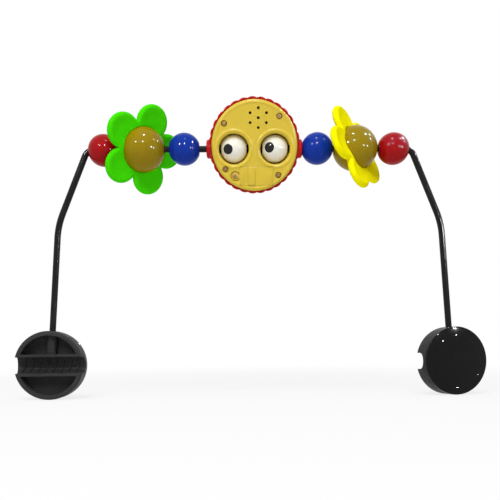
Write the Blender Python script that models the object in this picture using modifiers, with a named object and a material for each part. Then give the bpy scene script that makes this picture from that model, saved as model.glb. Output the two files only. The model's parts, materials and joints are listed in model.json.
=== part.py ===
"""Toy bar for a baby bouncer: a bent steel wire with two swivelling clips, four beads,
two flowers and a round face with googly eyes, all threaded on the wire.

Frame: X runs along the bar, to the right as seen by the child's parent, Y runs away from
the viewer and Z points up. The origin lies midway between the centres of the two clips.
"""

import math

import bmesh
import bpy
from mathutils import Matrix, Vector

MM = 0.001

# Clearances
TOUCH_GAP = 0.3 * MM          # between two pieces that bear on each other
BORE_PLAY = 0.9 * MM          # between the wire and every bore that turns on it
MOUTH_RING = 1.6 * MM         # flat ring round the mouth of a bore
ROOT = 0.5 * MM               # how far a rib, boss or post is rooted in what carries it
CUT_PAST = 1.0 * MM           # how far a cut runs past the surface

# Wire
WIRE_R = 3.0 * MM
BEND_R = 10.6 * MM            # centre line of the bend at each end of the top run
KNEE_R = 76.0 * MM            # centre line of the soft bend half way down a leg
UPPER_LEAN = math.radians(21.6)
LOWER_LEAN = math.radians(3.6)
UPPER_LEG = 77.0 * MM         # corner of the bend to corner of the knee
LOWER_LEG = 131.7 * MM        # corner of the knee to the centre of the clip
NECK_R = 1.9 * MM             # groove near the wire's end, where the clip's fork sits
NECK_LENGTH = 1.9 * MM
NECK_STEP = 0.15 * MM
WIRE_FOOT = 1.4 * MM          # wire left beyond the groove

# Beads, all from one mould
BEAD_R = 15.2 * MM
BEAD_WALL = 1.8 * MM
SEAM_GAP = 0.3 * MM

# Flowers
BALL_R = 21.4 * MM
BALL_WALL = 2.2 * MM
GREEN_TILT = math.radians(52.2)    # between the wire and the normal of the petals
YELLOW_TILT = math.radians(40.2)
PETALS = 5
PETAL_REACH = 26.7 * MM       # middle of the flower to the middle of a petal
PETAL_R = 16.7 * MM
PETAL_RIM_T = 6.4 * MM        # thickness of the rounded rim
PETAL_DISH_T = 4.0 * MM       # thickness of the dished middle
PETAL_DISH_INSET = 7.0 * MM
PETAL_ROOT_T = 2.4 * MM       # thickness between the two halves of the ball
PETAL_HOLE_R = 15.0 * MM
VALLEY_CREEP = 0.6            # how far a crease between petals follows the outline inwards
GREEN_TURN = math.radians(22.9)    # how far each flower has spun on the wire
YELLOW_TURN = math.radians(-26.8)
GREEN_PHASE = math.radians(-8.7)   # where the first petal points in the flower's plane
YELLOW_PHASE = math.radians(-13.6)

# Where things lie on the wire
RED_GREEN_SPACE = 1.2 * MM
GREEN_BLUE_SPACE = 4.8 * MM
BLUE_FACE_SPACE = 6.7 * MM
BLUE_YELLOW_SPACE = 1.25 * MM
YELLOW_RED_SPACE = 1.83 * MM
LEFT_ON_BEND = 5.6 * MM       # how far the mouth of each end bead reaches past the straight run
RIGHT_ON_BEND = 4.6 * MM

# Face
FACE_HALF_W = 40.2 * MM       # yellow front, half width and half height
FACE_HALF_H = 41.3 * MM
FACE_RISE = 2.9 * MM          # centre of the face above the wire
FACE_PITCH = math.radians(16.0)    # how far the face has turned down on the wire
FRONT_T = 3.0 * MM
FRONT_CHAMFER = 2.6 * MM
FRONT_CHAMFER_DROP = 1.9 * MM
SKIRT_T = 2.0 * MM
LEDGE_DEPTH = 5.0 * MM        # front surface to the ledge of the red shell that it rests on
LIP_DEPTH = 3.3 * MM          # front surface to the lip of the red shell
BACK_T = 2.2 * MM
BACK_WALL = 1.2 * MM          # wall of the red shell at the bottom of a flute
LEDGE_W = 1.8 * MM
BACK_ROUND = 5.0 * MM
FLUTES = 31
FLUTE_DEPTH = 1.3 * MM
HUB_R = 8.85 * MM
HUB_ROUND = 2.2 * MM
HUB_REACH = 5.05 * MM         # from the front's edge to the end of a hub
HUB_FOOT = 1.1 * MM           # from the front's edge to the start of a hub
SLEEVE_R = 6.0 * MM           # inside the shell, round the wire
SLEEVE_END_CLEAR = 0.9 * MM   # from the end of a sleeve to the eyeball

# Eyes. Their size follows from the face's width, and the face's depth from theirs.
EYE_GAP = 12.4 * MM           # between the eyeballs
EYE_EDGE = 7.8 * MM           # from an eyeball to the edge of the front
EYE_PROUD = 1.6 * MM          # how far the eyeballs stand out of the front
EYE_BACK_CLEAR = 0.9 * MM     # between an eyeball and the shell's floor
EYE_WALL = 2.0 * MM
WINDOW_CLEAR = 0.9 * MM       # between an eyeball and the edge of its window
WINDOW_CHAMFER = 1.8 * MM
BROW_W = 4.4 * MM             # raised ring round each window
BROW_H = 0.6 * MM
BROW_EDGE = 1.4 * MM
BROW_ROOT = 0.4 * MM
PUPIL_HALF_ANGLE = math.radians(21.0)
PUPIL_EDGE_T = 0.5 * MM       # depth of the pupil's recess at its edge
PUPIL_PROUD = 0.15 * MM
PUPIL_SIDEWAYS = math.radians(26.5)
LEFT_EYE_TURN = math.radians(16.0)
RIGHT_EYE_TURN = math.radians(9.0)
STOP_RIB_T = 1.8 * MM
STOP_RIB_CLEAR = 0.9 * MM

# Fasteners and sound unit
SCREW_PLACES = {              # degrees round the face, distance from the front's edge
    "upper_left": (145.7, 6.0 * MM),
    "upper_right": (47.8, 6.0 * MM),
    "lower_left": (-143.3, 6.0 * MM),
    "lower_right": (-49.3, 6.0 * MM),
}
SCREW_RECESS_R = 2.9 * MM
SCREW_RECESS_DEPTH = 2.5 * MM
SCREW_HEAD_R = 2.5 * MM
SCREW_HEAD_T = 1.4 * MM
SCREW_SHANK_R = 1.3 * MM
SCREW_LENGTH = 12.0 * MM
SCREW_HOLE_R = 1.6 * MM
SCREW_TIP_CLEAR = 1.0 * MM
BOSS_R = 4.2 * MM
POST_R = 3.6 * MM             # posts of the red shell that the case screws bite into
BOSS_LENGTH = 6.5 * MM        # front surface to the end of a screw boss
GRILLE_X = 3.5 * MM
GRILLE_INSET = 16.5 * MM      # from the top edge to the middle of the grille
GRILLE_R = 8.7 * MM
GRILLE_HOLE_R = 1.35 * MM
SPEAKER_R = 11.5 * MM
SPEAKER_T = 4.0 * MM
SPEAKER_RING_T = 1.3 * MM
SPEAKER_RING_H = 3.2 * MM
COVER_X = 1.7 * MM
COVER_W = 31.2 * MM
COVER_INSET = 5.2 * MM        # from the bottom edge to the cover
COVER_CLEAR = 2.0 * MM        # between the cover and the windows
COVER_T = 1.6 * MM
TONGUE_REACH = 4.5 * MM       # from the cover's end to the middle of its screw
TONGUE_R = 3.6 * MM
TONGUE_NECK = 3.6 * MM
TONGUE_RECESS_R = 4.65 * MM
COVER_SCREW_HEAD_T = 0.7 * MM
COVER_SCREW_LENGTH = 4.0 * MM
LATCH_X = -2.9 * MM
LATCH_W = 6.7 * MM
LATCH_H = 0.5 * MM
LATCH_INSET = 0.2 * MM        # from the cover's edges
COVER_SEAT_T = 0.8 * MM       # of the cover under its screw's head
CELL_R = 5.8 * MM
CELL_T = 5.4 * MM
CELL_SPACING = 12.2 * MM
TRAY_WALL = 1.2 * MM
BOARD_W = 30.0 * MM
BOARD_H = 18.0 * MM
BOARD_T = 1.6 * MM
BOARD_RISE = 0.4 * MM         # middle of the board above the middle of the grille
BOARD_POST_R = 2.2 * MM
BOARD_POST_H = 3.0 * MM

# Clips: one clamp body and one cap, used on both sides
CLIP_R = 32.4 * MM
CLIP_FRONT = 9.5 * MM         # wire axis to the face with the channel
CLIP_SEAM = 6.0 * MM          # wire axis to the seam with the cap
CLIP_EDGE = 1.8 * MM
CLIP_RIM = 4.2 * MM
CLIP_FLOOR = 2.6 * MM
CHANNEL_R = 7.6 * MM
CHANNEL_DEPTH = 13.3 * MM
CHANNEL_LIP = 2.6 * MM        # thickness of the springy walls of the channel
RIBS = 8
RIB_END = 7.2 * MM            # from the clip's edge to the middle of the last rib
RIB_T = 1.6 * MM
RIB_TOP_T = 1.0 * MM
RIB_H = 1.0 * MM
RIB_SLANT = math.radians(15.0)
RIB_ARC = math.radians(68.0)
POCKET_CORNER = 1.6 * MM
BOSS_WALL = 1.4 * MM          # round the wire in the clip
SOCKET_PLAY = 0.3 * MM
SOCKET_LIP = 0.4 * MM         # between the channel's wall and the socket
CAP_SIDE = 3.0 * MM
CAP_DOME = 4.0 * MM
CAP_WALL = 2.5 * MM
CAP_EDGE = 0.8 * MM           # rounded edge of the cap
CAP_STEP_INSET = 7.2 * MM     # from the cap's edge to the step round its middle
CAP_STEP = 0.3 * MM
KEY_PLAY = 0.4 * MM           # between the wire and the key that closes its slot
FORK_T = 1.2 * MM
FORK_REACH = 1.2 * MM         # how far its tines reach past the wire's axis
FORK_GRIP = 0.15 * MM         # how much narrower the fork's mouth is than its notch
RIGHT_CLIP_TURN = math.radians(14.5)

# Facets
BALL_SIDES = 20
BEAD_SIDES = 16
CLIP_SIDES = 30
CLIP_DETAIL_SIDES = 12
RIB_SECTIONS = 3
PETAL_POINTS = 6
RIM_STEPS = 2
OVAL_POINTS = 32
FLUTE_POINTS = 3
WINDOW_SIDES = 24
HUB_SIDES = 16
BOSS_SIDES = 10
HOLE_SIDES = 8
WIRE_RESOLUTION = 3
BEND_STEPS = 7
KNEE_STEPS = 4

# What follows from the sizes above
BORE_R = WIRE_R + BORE_PLAY
MOUTH_R = BORE_R + MOUTH_RING
BEND_TURN = math.pi / 2 - UPPER_LEAN
BEND_TANGENT = BEND_R * math.tan(BEND_TURN / 2)


def mouth_distance(radius):
    """From the centre of a bored ball to the plane of its bore's mouth."""
    return math.sqrt(radius ** 2 - MOUTH_R ** 2)


BEAD_HALF = mouth_distance(BEAD_R)
BALL_HALF = mouth_distance(BALL_R)
HUB_END = FACE_HALF_W + HUB_REACH
STRING_LENGTH = (8 * BEAD_HALF + 4 * BALL_HALF + 2 * HUB_END + TOUCH_GAP
                 + RED_GREEN_SPACE + GREEN_BLUE_SPACE + BLUE_FACE_SPACE
                 + BLUE_YELLOW_SPACE + YELLOW_RED_SPACE)
STRAIGHT_HALF = (STRING_LENGTH - LEFT_ON_BEND - RIGHT_ON_BEND) / 2
CORNER_X = STRAIGHT_HALF + BEND_TANGENT
KNEE_X = CORNER_X + UPPER_LEG * math.sin(UPPER_LEAN)
CLIP_X = KNEE_X + LOWER_LEG * math.sin(LOWER_LEAN)
KNEE_Z = LOWER_LEG * math.cos(LOWER_LEAN)
TOP_Z = KNEE_Z + UPPER_LEG * math.cos(UPPER_LEAN)
SOCKET_END = CHANNEL_R + CHANNEL_LIP + SOCKET_LIP
WIRE_END = SOCKET_END + SOCKET_PLAY
RIB_PITCH = 2 * (CLIP_R - RIB_END) / (RIBS - 1)
CAP_STEP_R = CLIP_R - CAP_STEP_INSET

EYE_R = (FACE_HALF_W - EYE_GAP / 2 - EYE_EDGE) / 2
EYE_SPREAD = EYE_GAP / 2 + EYE_R
WINDOW_R = EYE_R + WINDOW_CLEAR
BROW_R = WINDOW_R + BROW_W
PUPIL_R = EYE_R * math.sin(PUPIL_HALF_ANGLE)
PUPIL_SINK = EYE_R * math.cos(PUPIL_HALF_ANGLE) - PUPIL_EDGE_T
FRONT_Y = EYE_PROUD - EYE_R
LEDGE_Y = FRONT_Y + LEDGE_DEPTH
BACK_LIP_Y = FRONT_Y + LIP_DEPTH
BACK_Y = EYE_R + EYE_BACK_CLEAR + BACK_T
BOSS_END_Y = FRONT_Y + BOSS_LENGTH
GRILLE_Z = FACE_HALF_H - GRILLE_INSET
BOARD_Z = GRILLE_Z + BOARD_RISE
COVER_LOW = COVER_INSET - FACE_HALF_H
COVER_HIGH = -FACE_RISE - WINDOW_R - COVER_CLEAR
COVER_Z = (COVER_LOW + COVER_HIGH) / 2
COVER_H = COVER_HIGH - COVER_LOW
COVER_SCREW_X = COVER_X - COVER_W / 2 - TONGUE_REACH

RIGHT_RED_X = STRAIGHT_HALF + RIGHT_ON_BEND - BEAD_HALF
YELLOW_X = RIGHT_RED_X - BEAD_HALF - YELLOW_RED_SPACE - BALL_HALF
RIGHT_BLUE_X = YELLOW_X - BALL_HALF - BLUE_YELLOW_SPACE - BEAD_HALF
FACE_X = RIGHT_BLUE_X - BEAD_HALF - TOUCH_GAP - HUB_END
LEFT_RED_X = -(STRAIGHT_HALF + LEFT_ON_BEND - BEAD_HALF)
GREEN_X = LEFT_RED_X + BEAD_HALF + RED_GREEN_SPACE + BALL_HALF
LEFT_BLUE_X = GREEN_X + BALL_HALF + GREEN_BLUE_SPACE + BEAD_HALF

FINISHES = {
    "black_steel": ((0.012, 0.012, 0.013), 0.28, 0.0),
    "black_gloss": ((0.010, 0.010, 0.011), 0.16, 0.0),
    "black_matte": ((0.022, 0.022, 0.023), 0.55, 0.0),
    "red": ((0.55, 0.012, 0.018), 0.25, 0.0),
    "blue": ((0.008, 0.045, 0.37), 0.25, 0.0),
    "green": ((0.05, 0.62, 0.012), 0.35, 0.0),
    "yellow": ((0.95, 0.85, 0.0), 0.35, 0.0),
    "ochre": ((0.30, 0.21, 0.012), 0.2, 0.0),
    "mustard": ((0.68, 0.49, 0.055), 0.4, 0.0),
    "white": ((0.82, 0.82, 0.78), 0.18, 0.0),
    "black_eye": ((0.006, 0.006, 0.006), 0.1, 0.0),
    "steel": ((0.55, 0.53, 0.50), 0.35, 1.0),
    "board": ((0.02, 0.18, 0.06), 0.5, 0.0),
}


# Scene and materials

def clear_scene():
    for obj in list(bpy.data.objects):
        bpy.data.objects.remove(obj)


def new_collection(name):
    group = bpy.data.collections.new(name)
    bpy.context.scene.collection.children.link(group)
    return group


def give_material(obj, finish):
    colour, roughness, metallic = FINISHES[finish]
    mat = bpy.data.materials.new(obj.name)
    mat.use_nodes = True
    shader = mat.node_tree.nodes["Principled BSDF"]
    shader.inputs["Base Color"].default_value = (*colour, 1.0)
    shader.inputs["Roughness"].default_value = roughness
    shader.inputs["Metallic"].default_value = metallic
    obj.data.materials.clear()
    obj.data.materials.append(mat)


class Shop:
    """Keeps the two collections and makes the objects that go into them."""

    def __init__(self):
        clear_scene()
        self.parts = new_collection("toy_bar")
        self.cutters = new_collection("cutters")

    def empty(self, name, place):
        obj = bpy.data.objects.new(name, None)
        obj.matrix_world = place
        self.parts.objects.link(obj)
        return obj

    def part(self, name, mesh, finish, parent=None, place=None):
        obj = bpy.data.objects.new(name, mesh)
        self.parts.objects.link(obj)
        give_material(obj, finish)
        self.seat(obj, parent, place)
        return obj

    def tool(self, name, mesh, owner, place=None):
        """A cutter or a joining shape, placed in its owner's own coordinates."""
        obj = bpy.data.objects.new(name, mesh)
        self.cutters.objects.link(obj)
        obj.hide_render = True
        obj.display_type = "WIRE"
        self.seat(obj, owner, place)
        return obj

    def seat(self, obj, parent, place):
        if parent is not None:
            obj.parent = parent
        obj.matrix_local = place if place is not None else Matrix()

    def boolean(self, owner, mesh, operation, place=None):
        name = f"{owner.name}_{operation.lower()}_{len(owner.modifiers)}"
        tool = self.tool(name, mesh, owner, place)
        mod = owner.modifiers.new(name, "BOOLEAN")
        mod.operation = operation
        mod.solver = "EXACT"
        mod.object = tool

    def cut(self, owner, mesh, place=None):
        self.boolean(owner, mesh, "DIFFERENCE", place)

    def join(self, owner, mesh, place=None):
        self.boolean(owner, mesh, "UNION", place)


# Shapes

def finished_mesh(name, bm):
    bmesh.ops.recalc_face_normals(bm, faces=bm.faces)
    mesh = bpy.data.meshes.new(name)
    bm.to_mesh(mesh)
    bm.free()
    mesh.shade_smooth()
    mesh.set_sharp_from_angle(angle=math.radians(35))
    return mesh


def box_mesh(name, low, high):
    """A box between two corners."""
    low, high = Vector(low), Vector(high)
    bm = bmesh.new()
    size = Matrix.Diagonal((*(high - low), 1.0))
    bmesh.ops.create_cube(bm, size=1.0, matrix=Matrix.Translation((low + high) / 2) @ size)
    return finished_mesh(name, bm)


def add_rod(bm, radius, start, end, sides, end_radius=None):
    """A round rod or a cone between two points, added to a mesh."""
    start, end = Vector(start), Vector(end)
    along = end - start
    turn = Vector((0, 0, 1)).rotation_difference(along).to_matrix().to_4x4()
    bmesh.ops.create_cone(
        bm, cap_ends=True, segments=sides, radius1=radius,
        radius2=radius if end_radius is None else end_radius, depth=along.length,
        matrix=Matrix.Translation((start + end) / 2) @ turn)


def rod_mesh(name, radius, start, end, sides=BOSS_SIDES, end_radius=None):
    bm = bmesh.new()
    add_rod(bm, radius, start, end, sides, end_radius)
    return finished_mesh(name, bm)


def rods_mesh(name, rods, sides):
    """Several rods that don't touch, each given as radius, start and end."""
    bm = bmesh.new()
    for radius, start, end in rods:
        add_rod(bm, radius, start, end, sides)
    return finished_mesh(name, bm)


def add_ring(bm, before, outline):
    """Adds the next outline of a loft and the faces that join it to the one before."""
    after = [bm.verts.new(point) for point in outline]
    for i, vert in enumerate(before):
        bm.faces.new((before[i - 1], vert, after[i], after[i - 1]))
    return after


def lofted_mesh(name, outlines, closed=False):
    """A solid through outlines of one point count, with flat ends or closed to a ring."""
    bm = bmesh.new()
    first = [bm.verts.new(point) for point in outlines[0]]
    ring = first
    for outline in outlines[1:]:
        ring = add_ring(bm, ring, outline)
    if closed:
        for i in range(len(ring)):
            bm.faces.new((ring[i - 1], ring[i], first[i], first[i - 1]))
    else:
        bm.faces.new(first)
        bm.faces.new(ring)
    return finished_mesh(name, bm)


def arc(radius, start, end, steps):
    """Points of a turned profile on a circle round the axis point, from the pole down."""
    return [(radius * math.sin(start + (end - start) * i / steps),
             radius * math.cos(start + (end - start) * i / steps)) for i in range(steps + 1)]


def turned_mesh(name, profile, sides, closed):
    """A profile of (radius, height) pairs turned round Z, outer side from top to bottom."""
    mesh = bpy.data.meshes.new(name)
    count = len(profile)
    edges = [(i, i + 1) for i in range(count - 1)]
    if closed:
        edges.append((count - 1, 0))
    mesh.from_pydata([(radius, 0.0, height) for radius, height in profile], edges, [])
    obj = bpy.data.objects.new(name, mesh)
    bpy.context.scene.collection.objects.link(obj)
    screw = obj.modifiers.new("turn", "SCREW")
    screw.axis = "Z"
    screw.angle = 2 * math.pi
    screw.steps = sides
    screw.render_steps = sides
    screw.use_merge_vertices = True
    screw.merge_threshold = 0.00001
    result = evaluated_mesh(obj)
    bpy.data.objects.remove(obj)
    result.shade_smooth()
    result.set_sharp_from_angle(angle=math.radians(35))
    return result


def evaluated_mesh(obj):
    """The shape of an object with its modifiers, as a mesh of its own."""
    bpy.context.view_layer.update()
    graph = bpy.context.evaluated_depsgraph_get()
    return bpy.data.meshes.new_from_object(obj.evaluated_get(graph))


def half_ball_mesh(name, radius, wall, sides, base, bored):
    """Half of a hollow ball: pole on +Z, open side at height base, with or without its bore."""
    inner = radius - wall
    outer_end = math.acos(base / radius)
    inner_end = math.acos(base / inner)
    if bored:
        outer = arc(radius, math.asin(MOUTH_R / radius), outer_end, 4)
        inside = arc(inner, inner_end, math.asin(BORE_R / inner), 2)
        top = (BORE_R, mouth_distance(radius))
        return turned_mesh(name, outer + inside + [top], sides, closed=True)
    outer = arc(radius, outer_end / 5, outer_end, 4)
    inside = arc(inner, inner_end, inner_end / 3, 2)
    return turned_mesh(name, [(0.0, radius)] + outer + inside + [(0.0, inner)], sides, closed=False)


# Wire

def rounded_route(corners, radii, steps):
    """Points along straight runs through corners, each corner rounded to its radius."""
    points = [corners[0]]
    for before, corner, after, radius, count in zip(corners, corners[1:], corners[2:], radii, steps):
        into = (corner - before).normalized()
        out = (after - corner).normalized()
        turn = into.angle(out)
        tangent = radius * math.tan(turn / 2)
        start = corner - into * tangent
        side = (out - into * into.dot(out)).normalized()
        centre = start + side * radius
        for i in range(count + 1):
            angle = turn * i / count
            points.append(centre - side * radius * math.cos(angle) + into * radius * math.sin(angle))
    points.append(corners[-1])
    return points


def leg_direction():
    """Unit vector down the lower part of the right leg."""
    return Vector((math.sin(LOWER_LEAN), 0, -math.cos(LOWER_LEAN)))


def wire_route():
    """Centre line of the wire from foot to foot, as (place, share of the wire's radius)."""
    def up_leg(distance):
        return Vector((CLIP_X, 0, 0)) - leg_direction() * distance

    right = [Vector((CORNER_X, 0, TOP_Z)), Vector((KNEE_X, 0, KNEE_Z)), up_leg(WIRE_END)]
    left = [Vector((-p.x, 0, p.z)) for p in reversed(right)]
    radii = [KNEE_R, BEND_R, BEND_R, KNEE_R]
    route = rounded_route(left + right, radii, [KNEE_STEPS, BEND_STEPS, BEND_STEPS, KNEE_STEPS])
    low = WIRE_END + WIRE_FOOT
    high = low + NECK_LENGTH
    neck = [(high, 1.0), (high - NECK_STEP, NECK_R / WIRE_R), (low + NECK_STEP, NECK_R / WIRE_R), (low, 1.0)]
    right_end = [(up_leg(distance), share) for distance, share in neck] + [(up_leg(WIRE_END), 1.0)]
    left_end = [(Vector((-p.x, 0, p.z)), share) for p, share in reversed(right_end)]
    return left_end + [(place, 1.0) for place in route[1:-1]] + right_end


def make_wire(shop):
    curve = bpy.data.curves.new("toy_bar_wire", "CURVE")
    curve.dimensions = "3D"
    curve.bevel_depth = WIRE_R
    curve.bevel_resolution = WIRE_RESOLUTION
    curve.use_fill_caps = True
    route = wire_route()
    spline = curve.splines.new("POLY")
    spline.points.add(len(route) - 1)
    for point, (place, share) in zip(spline.points, route):
        point.co = (*place, 1.0)
        point.radius = share
    guide = bpy.data.objects.new("wire_guide", curve)
    bpy.context.scene.collection.objects.link(guide)
    bm = bmesh.new()
    bm.from_mesh(evaluated_mesh(guide))
    bpy.data.objects.remove(guide)
    bmesh.ops.remove_doubles(bm, verts=bm.verts, dist=0.00001)
    shop.part("toy_bar_wire", finished_mesh("toy_bar_wire", bm), "black_steel")


# Beads

def bend_point(distance):
    """A point of the right half of the wire, as far along X as the distance."""
    past = max(0.0, distance - STRAIGHT_HALF)
    drop = BEND_R - math.sqrt(BEND_R ** 2 - past ** 2)
    return Vector((distance, 0, TOP_Z - drop))


def bead_frame(centre_x, side):
    """Place of a bead: its axis is the chord of the wire between its two mouths."""
    inner = bend_point(side * centre_x - BEAD_HALF)
    outer = bend_point(side * centre_x + BEAD_HALF)
    chord = outer - inner
    axis = Vector((side * chord.x, 0, chord.z)).normalized()
    middle = (inner + outer) / 2
    turn = Vector((0, 0, 1)).rotation_difference(axis).to_matrix().to_4x4()
    return Matrix.Translation((side * middle.x, 0, middle.z)) @ turn


def make_bead(shop, half, name, centre_x, side, finish):
    """Two equal halves, seam to seam, with their mouths on the wire."""
    axle = shop.empty(f"{name}_axle", bead_frame(centre_x, side))
    shop.part(f"{name}_outer_half", half.copy(), finish, axle)
    shop.part(f"{name}_inner_half", half.copy(), finish, axle, Matrix.Rotation(math.pi, 4, "X"))


# Flowers

def petal_outline(inset, height):
    """Outline of the five joined petals, drawn in by an inset, from the first valley on."""
    step = math.pi / PETALS
    across = PETAL_REACH * math.sin(step)
    valley = PETAL_REACH * math.cos(step) + math.sqrt(PETAL_R ** 2 - across ** 2)
    sweep = math.atan2(valley * math.sin(step), valley * math.cos(step) - PETAL_REACH)
    points = []
    for petal in range(PETALS):
        turn = Matrix.Rotation(2 * step * petal, 3, "Z")
        crease = (valley - inset * VALLEY_CREEP) * Vector((math.cos(step), -math.sin(step), 0))
        points.append(turn @ crease + Vector((0, 0, height)))
        for i in range(1, PETAL_POINTS):
            angle = -sweep + 2 * sweep * i / PETAL_POINTS
            radius = PETAL_R - inset
            reach = Vector((PETAL_REACH + radius * math.cos(angle), radius * math.sin(angle), height))
            points.append(turn @ reach)
    return points


def round_outline(radius, height):
    """The points of the petals' outline, drawn in to a circle round the flower's middle."""
    return [Vector((*(p.xy.normalized() * radius), height)) for p in petal_outline(0.0, height)]


def petals_mesh():
    """Petals with a rounded rim and dished faces, thin between the halves of the ball."""
    rim = PETAL_RIM_T / 2
    dish = PETAL_DISH_T / 2
    root = PETAL_ROOT_T / 2
    collar_r = BALL_R + TOUCH_GAP
    upper = []
    for i in range(1, RIM_STEPS + 1):
        turn = math.pi / 2 * i / RIM_STEPS
        upper.append((petal_outline, rim * (1 - math.cos(turn)), rim * math.sin(turn)))
    upper += [(petal_outline, PETAL_DISH_INSET, dish),
              (round_outline, collar_r, root),
              (round_outline, PETAL_HOLE_R, root)]
    outlines = [petal_outline(0.0, 0.0)]
    outlines += [make(size, height) for make, size, height in upper]
    outlines += [make(size, -height) for make, size, height in reversed(upper)]
    return lofted_mesh("petals", outlines, closed=True)


def flower_frame(centre_x, tilt, turn, phase):
    """Place of a flower: Z is the normal of its petals and the wire lies in its XZ plane."""
    across = Vector((math.sin(tilt), math.cos(tilt), 0))
    normal = Vector((math.cos(tilt), -math.sin(tilt), 0))
    axes = Matrix((across, Vector((0, 0, 1)), normal)).transposed().to_4x4()
    spin = Matrix.Rotation(turn, 4, "X")
    frame = Matrix.Translation((centre_x, 0, TOP_Z)) @ spin @ axes
    return frame, Matrix.Rotation(phase, 4, "Z")


def make_flower(shop, name, centre_x, tilt, turn, phase, finish):
    frame, petal_turn = flower_frame(centre_x, tilt, turn, phase)
    axle = shop.empty(f"{name}_axle", frame)
    shop.part(f"{name}_petals", petals_mesh(), finish, axle, petal_turn)
    half = half_ball_mesh("ball_half", BALL_R, BALL_WALL, BALL_SIDES,
                          PETAL_ROOT_T / 2 + TOUCH_GAP, bored=False)
    toward_wire = Vector((math.sin(tilt), 0, math.cos(tilt)))
    for label, flip in (("front", 0.0), ("back", math.pi)):
        shell = shop.part(f"{name}_ball_{label}", half.copy(), "ochre", axle,
                          Matrix.Rotation(flip, 4, "Y"))
        outside = toward_wire * (BALL_R + CUT_PAST)
        inside = toward_wire * (BALL_R - BALL_WALL - 2 * CUT_PAST)
        shop.cut(shell, rod_mesh("bore", BORE_R, inside, outside, HUB_SIDES))
        shop.cut(shell, rod_mesh("mouth", MOUTH_R + CUT_PAST, toward_wire * BALL_HALF, outside,
                                 HUB_SIDES))


# Eyes

def make_eye(shop, name, side, turn):
    """Two half shells on the wire and a pupil let into the left one."""
    place = Matrix.Translation((FACE_X + side * EYE_SPREAD, 0, TOP_Z)) @ Matrix.Rotation(turn, 4, "X")
    axle = shop.empty(f"{name}_axle", place)
    half = half_ball_mesh("eye_half", EYE_R, EYE_WALL, BEAD_SIDES, SEAM_GAP / 2, bored=True)
    left = Matrix.Rotation(-math.pi / 2, 4, "Y")
    right = Matrix.Rotation(math.pi / 2, 4, "Y")
    shop.part(f"{name}_right_half", half.copy(), "white", axle, right)
    shell = shop.part(f"{name}_left_half", half.copy(), "white", axle, left)
    gaze = Vector((-math.sin(PUPIL_SIDEWAYS), -math.cos(PUPIL_SIDEWAYS), 0))
    to_shell = left.inverted().to_3x3() @ gaze
    recess_r = PUPIL_R + TOUCH_GAP
    shop.cut(shell, rod_mesh("recess", recess_r, to_shell * PUPIL_SINK,
                             to_shell * (EYE_R + CUT_PAST), HUB_SIDES))
    dome_r = EYE_R + PUPIL_PROUD
    edge = math.asin(PUPIL_R / dome_r)
    dome = [(0.0, dome_r)] + arc(dome_r, edge / 3, edge, 2)
    base = PUPIL_SINK + TOUCH_GAP
    look = Vector((0, 0, 1)).rotation_difference(gaze).to_matrix().to_4x4()
    pupil = turned_mesh("pupil", dome + [(PUPIL_R, base), (0.0, base)], HUB_SIDES, closed=False)
    shop.part(f"{name}_pupil", pupil, "black_eye", axle, look)


# Face

def oval(half_w, half_h, y, count=OVAL_POINTS):
    return [Vector((half_w * math.cos(2 * math.pi * i / count), y,
                    half_h * math.sin(2 * math.pi * i / count))) for i in range(count)]


def fluted(grow, depth, y):
    """Outline of the red shell: rounded flutes on an oval that follows the yellow front."""
    count = FLUTES * FLUTE_POINTS
    base = TOUCH_GAP + BACK_WALL + grow
    points = []
    for i in range(count):
        angle = 2 * math.pi * i / count
        bump = depth * abs(math.cos(FLUTES * angle / 2))
        points.append(Vector(((FACE_HALF_W + base + bump) * math.cos(angle), y,
                              (FACE_HALF_H + base + bump) * math.sin(angle))))
    return points


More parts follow.
